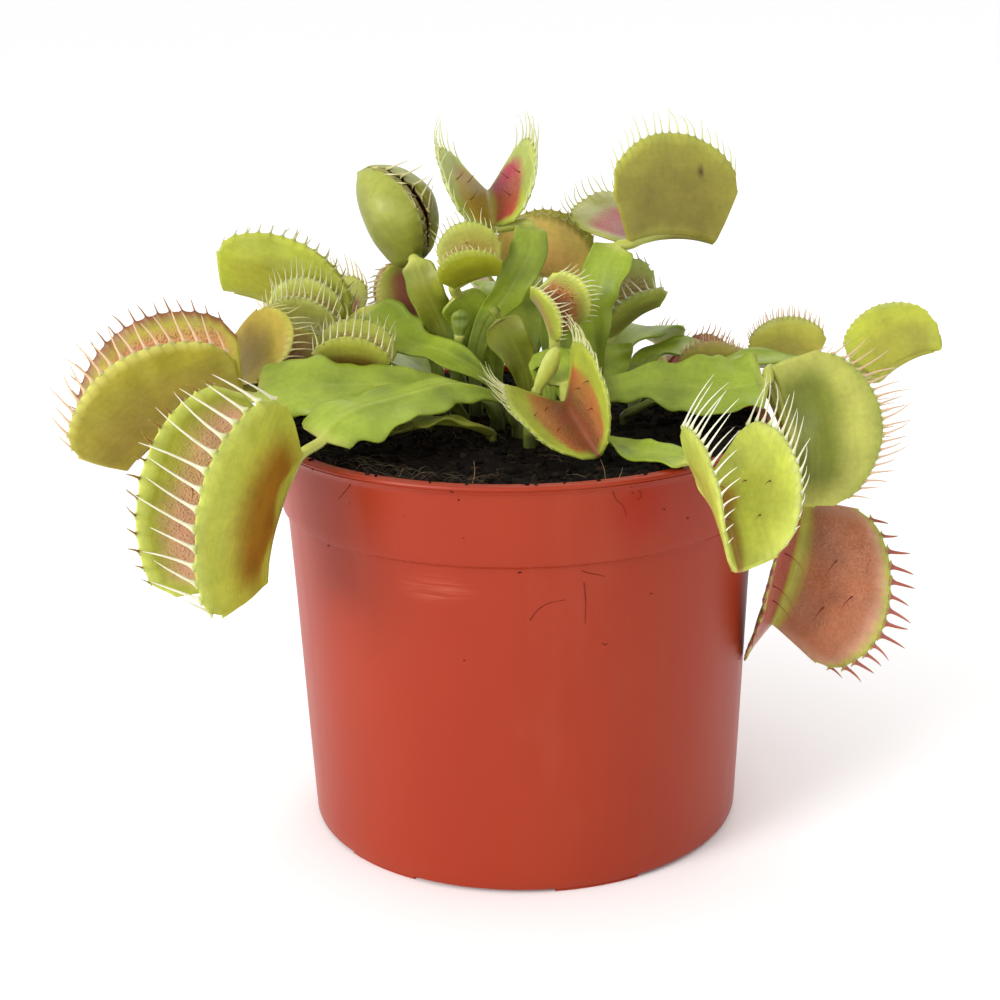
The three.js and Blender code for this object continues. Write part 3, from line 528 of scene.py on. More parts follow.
        trap=dict(base=(46.8, 28.5, 77.4), end=(57.4, 27.5, 78.7), open=(0.1, 0.15, 1), deep=8, gape=40,
            bow=40, teeth=17, tooth=2.2, lean=8),
        look=dict(back=(198, 196, 84), heart=(186, 180, 78), rim=(190, 192, 90), lining=(176, 120, 78),
            tooth=(226, 180, 152))),
    "leaf_right_behind": dict(
        foot=(24, 15), path=((27, 17.5, 76.5), (29.5, 20.5, 77)), wide=3.4,
        trap=dict(base=(32, 22, 77), end=(43, 20.8, 76.5), open=(0, 0.2, 1), deep=6.2, gape=46, bow=40,
            flare=(0.42, 0.2), teeth=14, tooth=1.5, lean=8),
        look=dict(back=(184, 174, 84), heart=(172, 150, 76), rim=(178, 154, 88), lining=(170, 130, 84),
            tooth=(200, 150, 118))),
    "bud_front": dict(
        foot=(-5, -9), path=((-8, -11, 75.5), (-14, -14, 77.2), (-18.5, -17, 77)), wide=2.4, bud=(5, 1.6),
        look=dict(blade=(190, 196, 72), bladeDark=(160, 166, 60), shadedBladeBase=(120, 116, 50),
            neck=(120, 118, 50), pod=(118, 116, 44), rim=(140, 136, 60))),
    "bud_left": dict(
        foot=(-11.5, 8.3), path=((-11.3, 8, 80), (-10.6, 6.8, 87.8)), wide=0, up=(0, -1, 0.1),
        bud=(4.8, 1.6),
        look=dict(blade=(120, 140, 50), pod=(122, 140, 52), rim=(146, 160, 66))),
    "leaf_back": dict(
        foot=(1, 26), path=((1, 31, 84), (-1, 37.5, 90.5), (-2.5, 44, 90.5)), wide=7,
        trap=dict(base=(-3, 48, 88.5), end=(-4, 62, 82), open=(0, 0.35, 0.95), deep=14, gape=48, bow=36,
            teeth=16, tooth=4.5, lean=10),
        look=dict(back=(176, 180, 64), heart=(154, 130, 40), rim=(192, 198, 86), lining=(172, 92, 62),
            tooth=(226, 206, 160))),
    "leaf_back_left": dict(
        foot=(-13, 20), path=((-19.5, 24, 78.2), (-27.5, 32.5, 81.5), (-32, 37, 82.5)), wide=7.4,
        trap=dict(base=(-34, 40, 82), end=(-44, 52, 74), open=(-0.2, 0.2, 0.95), deep=14, gape=46, bow=36,
            teeth=16, tooth=4.5, lean=10),
        look=dict(back=(170, 168, 58), heart=(152, 136, 40), rim=(190, 192, 80), lining=(170, 84, 58),
            tooth=(224, 200, 156))),
    "leaf_back_right": dict(
        foot=(15, 27), path=((20, 32, 80), (25, 38, 82.4), (28, 43.5, 78.6)), wide=6.4,
        trap=dict(base=(30, 48.5, 72.6), end=(38, 57.5, 61), open=(0.45, 0.5, 0.75), deep=11.5, gape=46,
            bow=36, teeth=16, tooth=2.6, lean=10),
        look=dict(back=(150, 76, 52), heart=(140, 60, 46), rim=(170, 120, 74), lining=(160, 92, 62),
            tooth=(190, 130, 104))),
}


def alongCurve(points, count):  # even steps on a smooth centripetal curve through the points
    ends = [points[0] * 2 - points[1], *points, points[-1] * 2 - points[-2]]
    fine = []
    for p0, p1, p2, p3 in zip(ends, ends[1:], ends[2:], ends[3:]):
        t1 = max((p1 - p0).length, 1e-4) ** 0.5
        t2 = t1 + max((p2 - p1).length, 1e-4) ** 0.5
        t3 = t2 + max((p3 - p2).length, 1e-4) ** 0.5
        for step in range(16):
            t = t1 + (t2 - t1) * step / 16
            a1 = p0 * ((t1 - t) / t1) + p1 * (t / t1)
            a2 = p1 * ((t2 - t) / (t2 - t1)) + p2 * ((t - t1) / (t2 - t1))
            a3 = p2 * ((t3 - t) / (t3 - t2)) + p3 * ((t - t2) / (t3 - t2))
            b1 = a1 * ((t2 - t) / t2) + a2 * (t / t2)
            b2 = a2 * ((t3 - t) / (t3 - t1)) + a3 * ((t - t1) / (t3 - t1))
            fine.append(b1 * ((t2 - t) / (t2 - t1)) + b2 * ((t - t1) / (t2 - t1)))
    fine.append(points[-1])
    lengths = [0.0]
    for before, after in zip(fine, fine[1:]):
        lengths.append(lengths[-1] + (after - before).length)
    result = []
    index = 0
    for step in range(count):
        target = lengths[-1] * step / (count - 1)
        while index < len(fine) - 2 and lengths[index + 1] < target:
            index += 1
        share = (target - lengths[index]) / max(lengths[index + 1] - lengths[index], 1e-6)
        result.append(fine[index].lerp(fine[index + 1], min(max(share, 0), 1)))
    return result


def trapSheet(trap):  # the sheet of both lobes, by place along the hinge (0 to 1) and distance from it
    base = Vector(trap["base"])
    along = Vector(trap["end"]) - base
    length = along.length
    along.normalize()
    opening = Vector(trap["open"])
    opening = (opening - along * opening.dot(along)).normalized()
    across = along.cross(opening)
    gape = math.radians(trap["gape"])
    shut = trap.get("shut")
    bow = math.radians(trap["bow"] * (1.06 if shut else 1))
    hingeArc = hingeRadius * (math.pi / 2 - gape)
    baseFlare, farFlare = trap.get("flare", (0.42, 0.42))
    baseDepth, farDepth = trap.get("ends", (0.6, 0.6))
    arch = trap.get("arch", length * 0.09)
    rough = trap["deep"] * 0.014

    def depthAt(s):
        inside = min(max(s, 0), 1)
        least = baseDepth + (farDepth - baseDepth) * inside
        corner = max(0, 1 - min(inside, 1 - inside) / 0.09)
        rounded = 1 - 0.14 * corner ** 2
        return trap["deep"] * (least + (1 - least) * math.sin(math.pi * inside) ** 0.8) * rounded

    def smoothAt(s, distance):
        far = abs(distance)
        bend = bow / (depthAt(s) if shut else trap["deep"])
        if far < hingeArc:
            y = hingeRadius * math.sin(far / hingeRadius)
            z = hingeRadius * (1 - math.cos(far / hingeRadius))
        else:
            rest = gape - bend * (far - hingeArc)
            y = hingeRadius * math.cos(gape) + (math.cos(rest) - math.cos(gape)) / bend
            z = hingeRadius * (1 - math.sin(gape)) + (math.sin(gape) - math.sin(rest)) / bend
        x = length * s + far * (farFlare * s - baseFlare * (1 - s))
        lift = z + arch * (1 - (2 * s - 1) ** 2)
        return base + along * x + across * math.copysign(y, distance) + opening * lift

    def normalAt(s, distance):  # points into the mouth
        byDistance = smoothAt(s, distance + 0.02) - smoothAt(s, distance - 0.02)
        byPlace = smoothAt(s + 0.02 / length, distance) - smoothAt(s - 0.02 / length, distance)
        return byDistance.cross(byPlace).normalized()

    def pointAt(s, distance):  # with the soft unevenness of a grown leaf
        point = smoothAt(s, distance)
        share = min(abs(distance) / trap["deep"], 1)
        return point + normalAt(s, distance) * (rough * share * 2 * noise.noise(point * 0.22))

    return {
        "pointAt": pointAt, "normalAt": normalAt, "depthAt": depthAt,
        "length": length, "opening": opening,
    }


def lobeValue(values, name, side):  # the far lobe may have a value of its own
    other = "other" + name.capitalize()
    return values[other] if side > 0 and other in values else values[name]


def addTrap(form, trap, look, draw):
    sheet = trapSheet(trap)
    pointAt, normalAt, depthAt = sheet["pointAt"], sheet["normalAt"], sheet["depthAt"]
    teeth = trap["teeth"]
    scallop = min(0.5, 0.022 * trap["deep"] + 0.1, 7 / teeth)
    across = 14 if trap["deep"] > 11 else 9
    perTooth = 7 if trap["deep"] > 11 else 6
    seed = Vector((teeth * 1.7, trap["deep"], trap["gape"] * 0.1))

    def marginAt(s, side):  # the margin rises to the root of each tooth
        crest = math.cos(math.tau * (teeth * s - (0.5 if side < 0 else 0)))
        return depthAt(s) + scallop * (max(crest, 0) ** 2 - 0.4)

    def tintAt(s, share, inside, side):
        rim = lobeValue(look, "rim", side)
        blotch = noise.noise(Vector((s * 3.4, side * share * 2.2, 0)) + seed)
        if inside:
            red = ramp([(0.0, 0.0), (0.1, 1.0)], min(s, 1 - s))
            band = 1 - look["lipWidth"] + 0.05 * blotch
            own = lobeValue(look, "lining", side)
            lining = look["lip"].lerp(own, red * (0.9 + 0.25 * blotch))
            deep = lining * (1 - look["flush"] * ramp([(0.15, 1.0), (0.75, 0.0)], share))
            stops = [(0.0, look["groove"]), (0.05, look["groove"]), (0.18, deep), (band - 0.12, lining),
                     (band + 0.05, look["lip"]), (1 - look["rimWidth"], look["lip"]), (1.0, rim)]
            return ramp(stops, share)
        back = lobeValue(look, "back", side)
        stops = [(0.0, look["back"]), (0.12, look["heart"]), (0.42, look["heart"]), (0.78, back),
                 (0.99 - look["rimWidth"], back), (1.0, rim)]
        fade = ramp([(0.0, 1.0), (0.2, 0.0)], min(s, 1 - s))
        return ramp(stops, share + 0.2 * blotch * (1 - share)).lerp(back, fade * 0.8)

    def grainAt(s, share):
        band = 1 - look["lipWidth"]
        ends = ramp([(0.02, 0.0), (0.12, 1.0)], min(s, 1 - s))
        stops = [(0.06, 0.0), (0.2, 1.0), (band - 0.08, 1.0), (band + 0.04, 0.0)]
        return look["granules"] * ends * ramp(stops, share)

    spread = [index / across for index in range(-across, across + 1)]
    count = teeth * perTooth
    lips = [(-0.3 / sheet["length"], 0.3)] + [(index / count, 1.0) for index in range(count + 1)]
    lips.append((1 + 0.3 / sheet["length"], 0.3))
    rings = []
    for s, thickness in lips:
        ring = []
        for inside in (True, False):
            for part in spread if inside else reversed(spread):
                side = -1 if part < 0 else 1
                share = abs(part) * (0.35 + 0.65 * abs(part))
                distance = side * share * marginAt(s, side)
                lift = thickness * (0.4 - 0.12 * share ** 3)
                if not inside:
                    lift = -lift - thickness * 0.5 * bell(distance / 1.1)
                point = pointAt(s, distance) + normalAt(s, distance) * lift
                tint = tintAt(s, share, inside, side)
                for spot, size, spotTint in look["spots"]:
                    mark = math.exp(-((point - Vector(spot)).length / size) ** 4)
                    tint = tint.lerp(colour(*spotTint), mark)
                place = (s * sheet["length"] * mm, distance * mm, 0)
                ring.append(addPoint(form, point, tint, grainAt(s, share) * inside, place))
            side = 1 if inside else -1
            edge = pointAt(s, side * (marginAt(s, side) + 0.22 * thickness))
            ring.append(addPoint(form, edge, lobeValue(look, "rim", side)))
        rings.append(ring)
    addSheet(form, rings)
    addTeeth(form, trap, look, sheet, marginAt, draw)
    addTriggers(form, trap, look, sheet)


def addTeeth(form, trap, look, sheet, marginAt, draw):
    pointAt, normalAt = sheet["pointAt"], sheet["normalAt"]
    teeth = trap["teeth"]
    spacing = sheet["length"] * 1.5 / teeth
    baseLength, farLength = trap.get("taper", (1, 1))
    sweep = Vector(look["sweep"])
    profile = [(0.0, 1.0), (0.04, 0.74), (0.08, 0.52), (0.13, 0.37), (0.21, 0.28), (0.38, 0.23),
               (0.6, 0.18), (0.8, 0.13), (0.94, 0.07), (1.0, 0.03)]
    for side in (-1, 1):
        longest = lobeValue(trap, "tooth", side)
        paint = lobeValue(look, "tooth", side)
        rim = lobeValue(look, "rim", side)
        for index in range(teeth):
            s = (index + 0.5 + (0.5 if side > 0 else 0)) / teeth
            if s >= 0.98:
                continue
            taper = baseLength + (farLength - baseLength) * s
            reach = longest * taper * (0.7 + 0.4 * math.sin(math.pi * s)) * (0.76 + 0.4 * next(draw))
            reach *= look["toothReach"] * (look["otherReach"] if side > 0 else 1)
            margin = marginAt(s, side)
            root = pointAt(s, side * margin)
            inward = normalAt(s, side * margin)
            tangent = (pointAt(s + 0.01, side * margin) - pointAt(s - 0.01, side * margin)).normalized()
            outward = tangent.cross(inward) * side
            lean = math.radians(trap.get("lean", 12))
            curl = look["curl"] * (noise.noise(root * 3.1) + 0.5)
            stray = 0.5 * noise.noise(root * 5.7)
            wide = min(1.15, spacing * 0.5, 0.3 + 0.2 * reach) * look["toothWidth"]
            thick = min(0.34, 0.2 + 0.025 * reach) * look["toothWidth"]
            centres, sizes, tints = [], [], []
            for t, width in profile:
                angle = lean + curl * (t - 0.55)
                travel = outward * math.cos(angle) + inward * math.sin(angle)
                travel = travel + tangent * (stray * t) + sweep
                centres.append(root - outward * 0.45 + travel * (t * (reach + 0.45)))
                sizes.append((wide * width, max(thick * min(1, width * 1.9), 0.02)))
                tints.append(rim.lerp(paint, ramp([(0.0, 0.15), (0.14, 1.0)], t)) * (1 - 0.1 * t))
            addSpike(form, centres, sizes, tangent, inward, tints)


def addTriggers(form, trap, look, sheet):  # three hairs stand on the lining of each lobe
    if trap.get("shut"):
        return
    pointAt, normalAt = sheet["pointAt"], sheet["normalAt"]
    tall = min(3.2, 0.15 * trap["deep"]) * look["hairReach"]
    for side in (-1, 1):
        for s, share in ((0.34, 0.4), (0.5, 0.62), (0.66, 0.4)):
            distance = side * share * sheet["depthAt"](s)
            root = pointAt(s, distance)
            up = normalAt(s, distance)
            slant = (pointAt(s + 0.02, distance) - pointAt(s - 0.02, distance)).normalized()
            other = slant.cross(up)
            steps = (0, 0.12, 0.4, 0.75, 1)
            centres = [root + up * (tall * t) + slant * (0.5 * tall * t * t) for t in steps]
            sizes = [(size, size) for size in (0.2, 0.14, 0.09, 0.06, 0.02)]
            addSpike(form, centres, sizes, slant, other, [look["hair"]] * 5, 6)


bladeFold = 0.14  # how far the halves of a blade rise, as a share of half its width
bladeWave = 0.5  # millimetres
bladeShape = [
    (0, 0.18), (0.14, 0.28), (0.3, 0.48), (0.46, 0.7), (0.62, 0.88), (0.77, 0.98), (0.88, 1),
    (0.94, 0.96), (0.965, 0.86), (0.982, 0.56), (1, 0.2),
]
podShape = [
    (0.04, 0.5), (0.1, 0.56), (0.2, 0.68), (0.32, 0.82), (0.44, 0.93), (0.56, 1), (0.68, 1),
    (0.79, 0.92), (0.88, 0.76), (0.94, 0.55), (0.98, 0.32), (1.0, 0.1),
]


def straightRamp(stops, place):
    for (low, before), (high, after) in zip(stops, stops[1:]):
        if place <= high:
            return before + (after - before) * (place - low) / (high - low)
    return stops[-1][1]


def stalkStations(leaf, draw):  # the line of the stalk: foot, blade, neck, then the rib under the hinge
    phase = next(draw) * math.tau
    foot = Vector((*leaf["foot"], soilTop))
    line = alongCurve([foot + Vector((0, 0, 1.1)), *map(Vector, leaf["path"])], 65)
    stations = []
    for depth in (3, 1):
        below = foot - Vector((0, 0, depth))
        stations.append({"at": below, "half": footHalfWidth, "round": 1.0, "t": 0})
    for index, point in enumerate(line):
        t = index / (len(line) - 1)
        width = straightRamp(bladeShape, t) if leaf["wide"] else 0
        half = max(leaf["wide"] * width, footHalfWidth * (1 - 0.3 * t), stemHalfWidth)
        plump = max(ramp([(0.0, 1.0), (0.16, 0.35), (0.4, 0.0)], t), ramp([(0.95, 0.0), (1.0, 1.0)], t))
        fold = bladeFold * half
        stations.append({
            "at": point, "half": half, "round": plump if leaf["wide"] else 1.0, "t": t,
            "left": fold + bladeWave * width * math.sin(t * 13 + phase),
            "right": fold + bladeWave * width * math.sin(t * 15 + phase + 2),
        })
    return stations


def addStalk(form, leaf, look, draw):
    stations = stalkStations(leaf, draw)
    if "trap" in leaf:
        sheet = trapSheet(leaf["trap"])
        hinge = [sheet["pointAt"](s, 0) - sheet["opening"] * 0.5 for s in (0.0, 0.18, 0.4, 0.66, 0.9)]
        neck = [stations[-3]["at"], stations[-1]["at"], *map(Vector, leaf.get("stem", [])), *hinge]
        stations.pop()
        stations.pop()
        for index, point in enumerate(alongCurve(neck, 30)[1:]):
            taper = 1 - 0.62 * (index / 28) ** 2
            half = stemHalfWidth * taper
            stations.append({"at": point, "half": half, "round": taper, "t": 1 + index / 28})
    else:
        length, radius = leaf["bud"]
        start = stations[-1]["at"]
        direction = (start - stations[-3]["at"]).normalized()
        for share, swell in podShape:
            crenels = 1 + 0.1 * math.sin(share * 60)
            stations.append({"at": start + direction * (length * share), "half": radius * swell,
                             "round": swell * 1.1, "t": 1 + share, "seam": crenels})
    upHint = Vector(leaf.get("up", (0, 0, 1))).normalized()
    phase = 9 * next(draw)
    across = 9
    spread = [index / across for index in range(-across, across + 1)]
    rings = []
    right = (stations[32]["at"] - stations[0]["at"]).cross(upHint).normalized()
    run = 0.0
    for index, station in enumerate(stations):
        before = stations[max(index - 1, 0)]["at"]
        after = stations[min(index + 1, len(stations) - 1)]["at"]
        forward = (after - before).normalized()
        run += (after - before).length / 2
        side = forward.cross(upHint)
        if side.length > 0.15:
            side.normalize()
            right = side if side.dot(right) > -0.2 else -side
        right = (right - forward * right.dot(forward)).normalized()
        up = right.cross(forward)
        half, plump, t = station["half"], station["round"], station["t"]
        left, rightLift = station.get("left", 0), station.get("right", 0)
        flat = 1 - min(plump, 1)
        ragged = [1 + flat * 0.3 * noiseAt(run * 0.24, away, phase) for away in (-5, 5)]

        def bladePoint(v, top, reach, lift):
            bend = abs(v) ** 1.3 * (rightLift if v > 0 else left)
            sway = 0.3 * half * v * v * flat * noiseAt(run * 0.16, v * 1.3, phase)
            point = station["at"] + right * reach + up * (bend + sway + lift)
            tint = bladeTint(look, t, v, top, half, run)
            return addPoint(form, point, tint, 0.0, (run * mm, v * half * mm, 0))

        ring = []
        for top in (True, False):
            for v in spread if top else reversed(spread):
                edge = math.sqrt(max(1 - v * v, 0))
                rib = bell(v * half / 0.7)
                crease = bell(v * half / 0.28)
                body = 0.22 + 0.1 * edge + (0.1 * rib - 0.14 * crease if top else 0.55 * rib)
                tube = 0.85 * half / max(half, 0.6) * edge if half < 1.6 else body
                lift = body * flat + min(tube, half) * (1 - flat)
                ring.append(bladePoint(v, top, v * half * ragged[v > 0], lift if top else -lift))
            v = 1 if top else -1
            reach = v * (half * ragged[v > 0] + 0.1) * (station.get("seam", 1) if v > 0 else 1)
            ring.append(bladePoint(v, top, reach, 0))
        rings.append(ring)
    addSheet(form, rings)


def bladeTint(look, t, v, top, half, run):
    if t > 1 and "pod" in look:
        return look["pod"].lerp(look["rim"], 0.8 * abs(v) ** 5)
    # Painted shade: the lower face of the blade is darker than the upper, a share of 0.35 towards the
    # dark blade colour
    side = look["blade"].lerp(look["bladeDark"], 0.0 if top else 0.35)
    foot, neck = look["shadedBladeBase"], look["neck"]
    # Painted shade: the stalk keeps its darker base colour up to a tenth of its length, and at the foot
    # goes down to a third of it, as shade among the crowded leaves
    tint = ramp([(0.0, foot * 0.35), (0.1, foot), (0.3, side), (0.93, side), (1.0, neck),
                 (1.3, neck), (1.7, look["heart"])], t)
    if t < 1:
        shade = noiseAt(run * 0.12, v * 1.4, half)
        tint = tint.lerp(look["bladeDark"], max(0, 0.1 + 0.9 * shade))
        rib = bell(v * half / 0.35)
        tint = tint.lerp(neck, 0.22 * rib * min(t * 3, 1))
        tint = tint.lerp(look["bladeDark"], 0.25 * abs(v) ** 8)
    return tint


def inColour(look):  # its colours as a shader takes them
    other = ("sweep", "spots")
    return {name: colour(*value) if isinstance(value, tuple) and name not in other else value
            for name, value in look.items()}


def pieceName(node):
    words = node.split("_")
    return words[0] + "".join(word.capitalize() for word in words[1:]) + "Grown"


for index, (node, leaf) in enumerate(leaves.items()):
    look = inColour({**leafLook, **leaf["look"]})
    draw = seeded(100 + index * 37)
    grown = newForm()
    addStalk(grown, leaf, look, draw)
    if "trap" in leaf:
        addTrap(grown, leaf["trap"], look, draw)
    settled(finished(grown, pieceName(node)), node, leafSkin)
print("leaves grown:", len(leaves))


# The pot: one thin skin of plastic, drawn up ring by ring, down again inside and closed by its floor
pot = {
    "sides": 144,
    "rings": [  # radius and height
        (37.3, 0.5), (38.8, 0.5), (39.25, 0.75), (39.45, 1.3), (39.6, 4), (40.1, 15), (40.7, 29),
        (41.3, 43), (41.9, 55), (42.15, 59.4), (42.4, 59.75), (42.95, 60.1), (43.07, 60.5), (43.2, 62),
        (43.55, 66.4), (43.85, 70.2), (43.95, 71.6), (44.05, 72.1), (44.35, 72.5), (44.7, 72.8),
        (44.82, 73.02), (44.7, 73.12), (44.7, 73.22), (44.92, 73.32), (45, 73.5), (44.92, 73.76),
        (44.7, 73.93), (44.4, 74), (43.9, 74), (43.75, 73.94), (43.6, 73.94), (43.45, 74),
        (43.1, 73.95), (42.9, 73.7), (42.8, 72), (42.6, 70), (41.9, 60), (40.5, 38), (39.1, 16),
        (38.3, 3.2), (37.9, 2.2), (37.3, 1.9),
    ],
    "footFrom": 37.5, "footTo": 60,  # degrees round the edge, repeated six times
    "footDrop": 0.5,
    "padRadius": 7, "padHeight": 1.2, "holeRadius": 3.2, "holeDepth": 8, "holeCircle": 26, "holes": 6,
    "holeSides": 48, "smoothTo": 28,  # degrees between faces that shade as one
}


def makePot():
    cleared()
    radius, height = pot["rings"][0]
    bpy.ops.mesh.primitive_circle_add(
        vertices=pot["sides"], radius=radius * mm, location=(0, 0, height * mm))
    body = bpy.context.object
    body.name = "potMoulded"
    bpy.ops.object.transform_apply(location=True, rotation=True, scale=True)
    bpy.ops.object.mode_set(mode="EDIT")
    bpy.ops.mesh.select_all(action="SELECT")
    bpy.ops.mesh.edge_face_add()
    for before, after in zip(pot["rings"], pot["rings"][1:]):
        rise = (0, 0, (after[1] - before[1]) * mm)
        bpy.ops.mesh.extrude_edges_move(TRANSFORM_OT_translate={"value": rise})
        grow = after[0] / before[0]
        bpy.ops.transform.resize(value=(grow, grow, 1), center_override=(0, 0, 0))
    bpy.ops.mesh.edge_face_add()
    bpy.ops.mesh.select_all(action="SELECT")
    bpy.ops.mesh.normals_make_consistent(inside=False)
    bpy.ops.mesh.select_all(action="DESELECT")
    bpy.ops.object.mode_set(mode="OBJECT")

    for face in body.data.polygons:  # the low feet hang from the flat edge of the floor
        flat = abs(face.center.z - 0.5 * mm) < 0.01 * mm and len(face.vertices) == 4
        turn = math.degrees(math.atan2(face.center.y, face.center.x)) % 60
        face.select = flat and pot["footFrom"] < turn < pot["footTo"]
    bpy.ops.object.mode_set(mode="EDIT")
    bpy.ops.mesh.select_mode(type="FACE")
    bpy.ops.mesh.extrude_region_move(TRANSFORM_OT_translate={"value": (0, 0, -pot["footDrop"] * mm)})
    bpy.ops.object.mode_set(mode="OBJECT")

    for turn in range(pot["holes"]):  # drain holes
        angle = math.radians(turn * 360 / pot["holes"])
        spot = (math.cos(angle) * pot["holeCircle"] * mm, math.sin(angle) * pot["holeCircle"] * mm, mm)
        punched(body, "DIFFERENCE", pot["holeRadius"], pot["holeDepth"], spot)
    punched(body, "UNION", pot["padRadius"], pot["padHeight"], (0, 0, pot["padHeight"] / 2 * mm))
    alone(body)
    bpy.ops.object.shade_smooth_by_angle(angle=math.radians(pot["smoothTo"]))
    settled(body, "pot", potPlastic)


def punched(body, way, radius, height, spot):
    cleared()
    bpy.ops.mesh.primitive_cylinder_add(
        vertices=pot["holeSides"], radius=radius * mm, depth=height * mm, location=spot)
    punch = bpy.context.object
    alone(body)
    cut = body.modifiers.new("punched", "BOOLEAN")
    cut.operation = way
    cut.solver = "EXACT"
    cut.object = punch
    bpy.ops.object.modifier_apply(modifier=cut.name)
    bpy.data.objects.remove(punch, do_unlink=True)


makePot()
print("pot moulded")


# The peat: a crumbly body that fills the pot, with loose crumbs and fine root fibres strewn over it
peat = {
    "top": 72.2, "bottom": 2.2, "topRadius": 42.3, "bottomRadius": 37.5, "grain": 0.8, "heaped": 1.25,
    "dark": (11, 9, 7), "brown": (42, 31, 21), "pale": (138, 120, 94), "hair": (104, 34, 20),
    "crumbs": 1900, "crumbReach": 42.3, "onLip": 60, "onWall": 42,  # one crumb in so many
    "lipRadius": 43.9, "lipTop": 74, "lipEdge": 44.2,
    "fibres": 900, "fibreReach": 41.5, "fibreSteps": 7,
    "hairs": [  # stuck to the pot: the angle round it and the height, for each bend
        [(-88.1, 50.6), (-86.6, 52.2), (-84.2, 53.4), (-80.1, 53.9)],
        [(-76, 56.6), (-75.6, 53.6), (-75.7, 49.4)],
        [(-76.6, 58.7), (-74.7, 58.1), (-72.7, 57.7), (-71.2, 57.2)],
        [(-70.4, 72), (-69.6, 70.6), (-68, 69.4), (-67.1, 67.6)],
        [(-64.2, 71.6), (-63.8, 70.6), (-64.6, 69.9)],
        [(-128.5, 71.8), (-130.6, 70.2), (-133, 68.6)], [(-71.6, 45.6), (-70.8, 45.2), (-70.1, 45.4)],
    ],
    "upright": [  # pale hairs that stand by the rim: foot and tip
        ((-7.6, -41.9, 73.2), (-7.1, -41.2, 77.4)), ((13.6, -40.6, 73.2), (12.9, -40.2, 77)),
        ((15.2, -39.8, 73), (16.4, -40.4, 75.6)), ((-20, -36.6, 73), (-18.6, -36.9, 75.2)),
    ],
}


def strewn(draw, reach):  # a place on the soil, even over the disc
    angle = next(draw) * math.tau
    radius = reach * math.sqrt(next(draw))
    return Vector((radius * math.cos(angle), radius * math.sin(angle), 0))


def peatLevel(x, y):  # slack mounds, heaped a little along the rim
    lumps = noise.noise(Vector((x, y, 3)) / 8.8)
    fine = noise.noise(Vector((x, y, 9)) / 1.6)
    heap = peat["heaped"] * ramp([(31.0, 0.0), (40.5, 1.0)], math.hypot(x, y))
    return peat["top"] - 0.35 + heap + 0.8 * lumps + 0.42 * fine


def makePeat():
    cleared()
    tall = peat["top"] - peat["bottom"]
    low, wide = peat["bottomRadius"] * mm, peat["topRadius"] * mm
    middle = (0, 0, (peat["bottom"] + tall / 2) * mm)
    bpy.ops.mesh.primitive_cone_add(
        vertices=96, radius1=low, radius2=wide, depth=tall * mm, location=middle)
    body = bpy.context.object
    body.name = "peatBody"
    bpy.ops.object.transform_apply(location=True, rotation=True, scale=True)
    alone(body)
    bpy.ops.object.modifier_add(type="REMESH")
    crumbly = body.modifiers[-1]
    crumbly.mode = "VOXEL"
    crumbly.voxel_size = peat["grain"] * mm
    bpy.ops.object.modifier_apply(modifier=crumbly.name)
    for vertex in body.data.vertices:
        x, y, z = vertex.co / mm
        if z > peat["top"] - 1.2:
            vertex.co.z = peatLevel(x, y) * mm - (peat["top"] * mm - vertex.co.z)
    tints = body.data.attributes.new("tint", "FLOAT_COLOR", "POINT")
    for vertex, tint in zip(body.data.vertices, tints.data):
        share = 0.5 + 0.5 * noise.noise(vertex.co / mm / 1.1)
        tint.color = (*colour(*peat["dark"]).lerp(colour(*peat["brown"]), share * 0.4), 1)
    bpy.ops.object.shade_smooth()
    settled(body, "soil", peatSkin)


def makeCrumbs():  # most lie on the peat, a few on the lip of the pot
    draw = seeded(4141)
    cleared()
    bpy.ops.mesh.primitive_ico_sphere_add(subdivisions=2, radius=1)
    ball = bpy.context.object
    corners = [vertex.co.copy() for vertex in ball.data.vertices]
    faces = [tuple(face.vertices) for face in ball.data.polygons]
    bpy.data.objects.remove(ball, do_unlink=True)
    crumbs = newForm()
    for index in range(peat["crumbs"]):
        size = 0.22 + 0.75 * next(draw) ** 2.5
        spot = strewn(draw, peat["crumbReach"])
        spot.z = peatLevel(spot.x, spot.y) + size * 0.2
        if index % peat["onLip"] == 0:
            spot *= peat["lipRadius"] / spot.xy.length
            size = 0.16 + 0.2 * next(draw)
            spot.z = peat["lipTop"] + size * 0.35
        elif index % peat["onWall"] == 1:  # dirt stuck on the outside of the pot
            height = 73 - 40 * next(draw) ** 3
            size = 0.09 + 0.13 * next(draw) ** 2
            spot = spot.xy.normalized().to_3d() * potRadius(height)
            spot.z = height
        stretch = Vector((1 + 1.2 * next(draw), 0.55 + 0.4 * next(draw), 0.45 + 0.4 * next(draw)))
        spin = Matrix.Rotation(next(draw) * math.tau, 3, "Z")
        turn = spin @ Matrix.Rotation(next(draw) - 0.5, 3, "Y")
        tint = colour(*peat["dark"]).lerp(colour(*peat["brown"]), next(draw) ** 2.2)
        start = len(crumbs["points"])
        for corner in corners:
            knobbly = corner * (size * (1 + 0.5 * noise.noise(corner * 1.9 + Vector((index, 0, 0)))))
            addPoint(crumbs, spot + turn @ (knobbly * stretch), tint)
        addFaces(crumbs, [tuple(start + corner for corner in face) for face in faces])
    settled(finished(crumbs, "peatCrumbs"), None, peatSkin)


def potRadius(height):  # of its outside
    return straightRamp([(tall, radius) for radius, tall in pot["rings"]], height)


def addFibre(form, centres, thick, tint):
    ahead = (centres[-1] - centres[0]).normalized()
    wide = ahead.cross(Vector((0.1, 0.2, 1))).normalized()
    count = len(centres) - 1
    sizes = [(thick * (1 - 0.6 * step / count),) * 2 for step in range(count + 1)]
    addSpike(form, centres, sizes, wide, ahead.cross(wide), [tint] * (count + 1), 5)


def heading(angle):
    return Vector((math.cos(angle), math.sin(angle), 0))


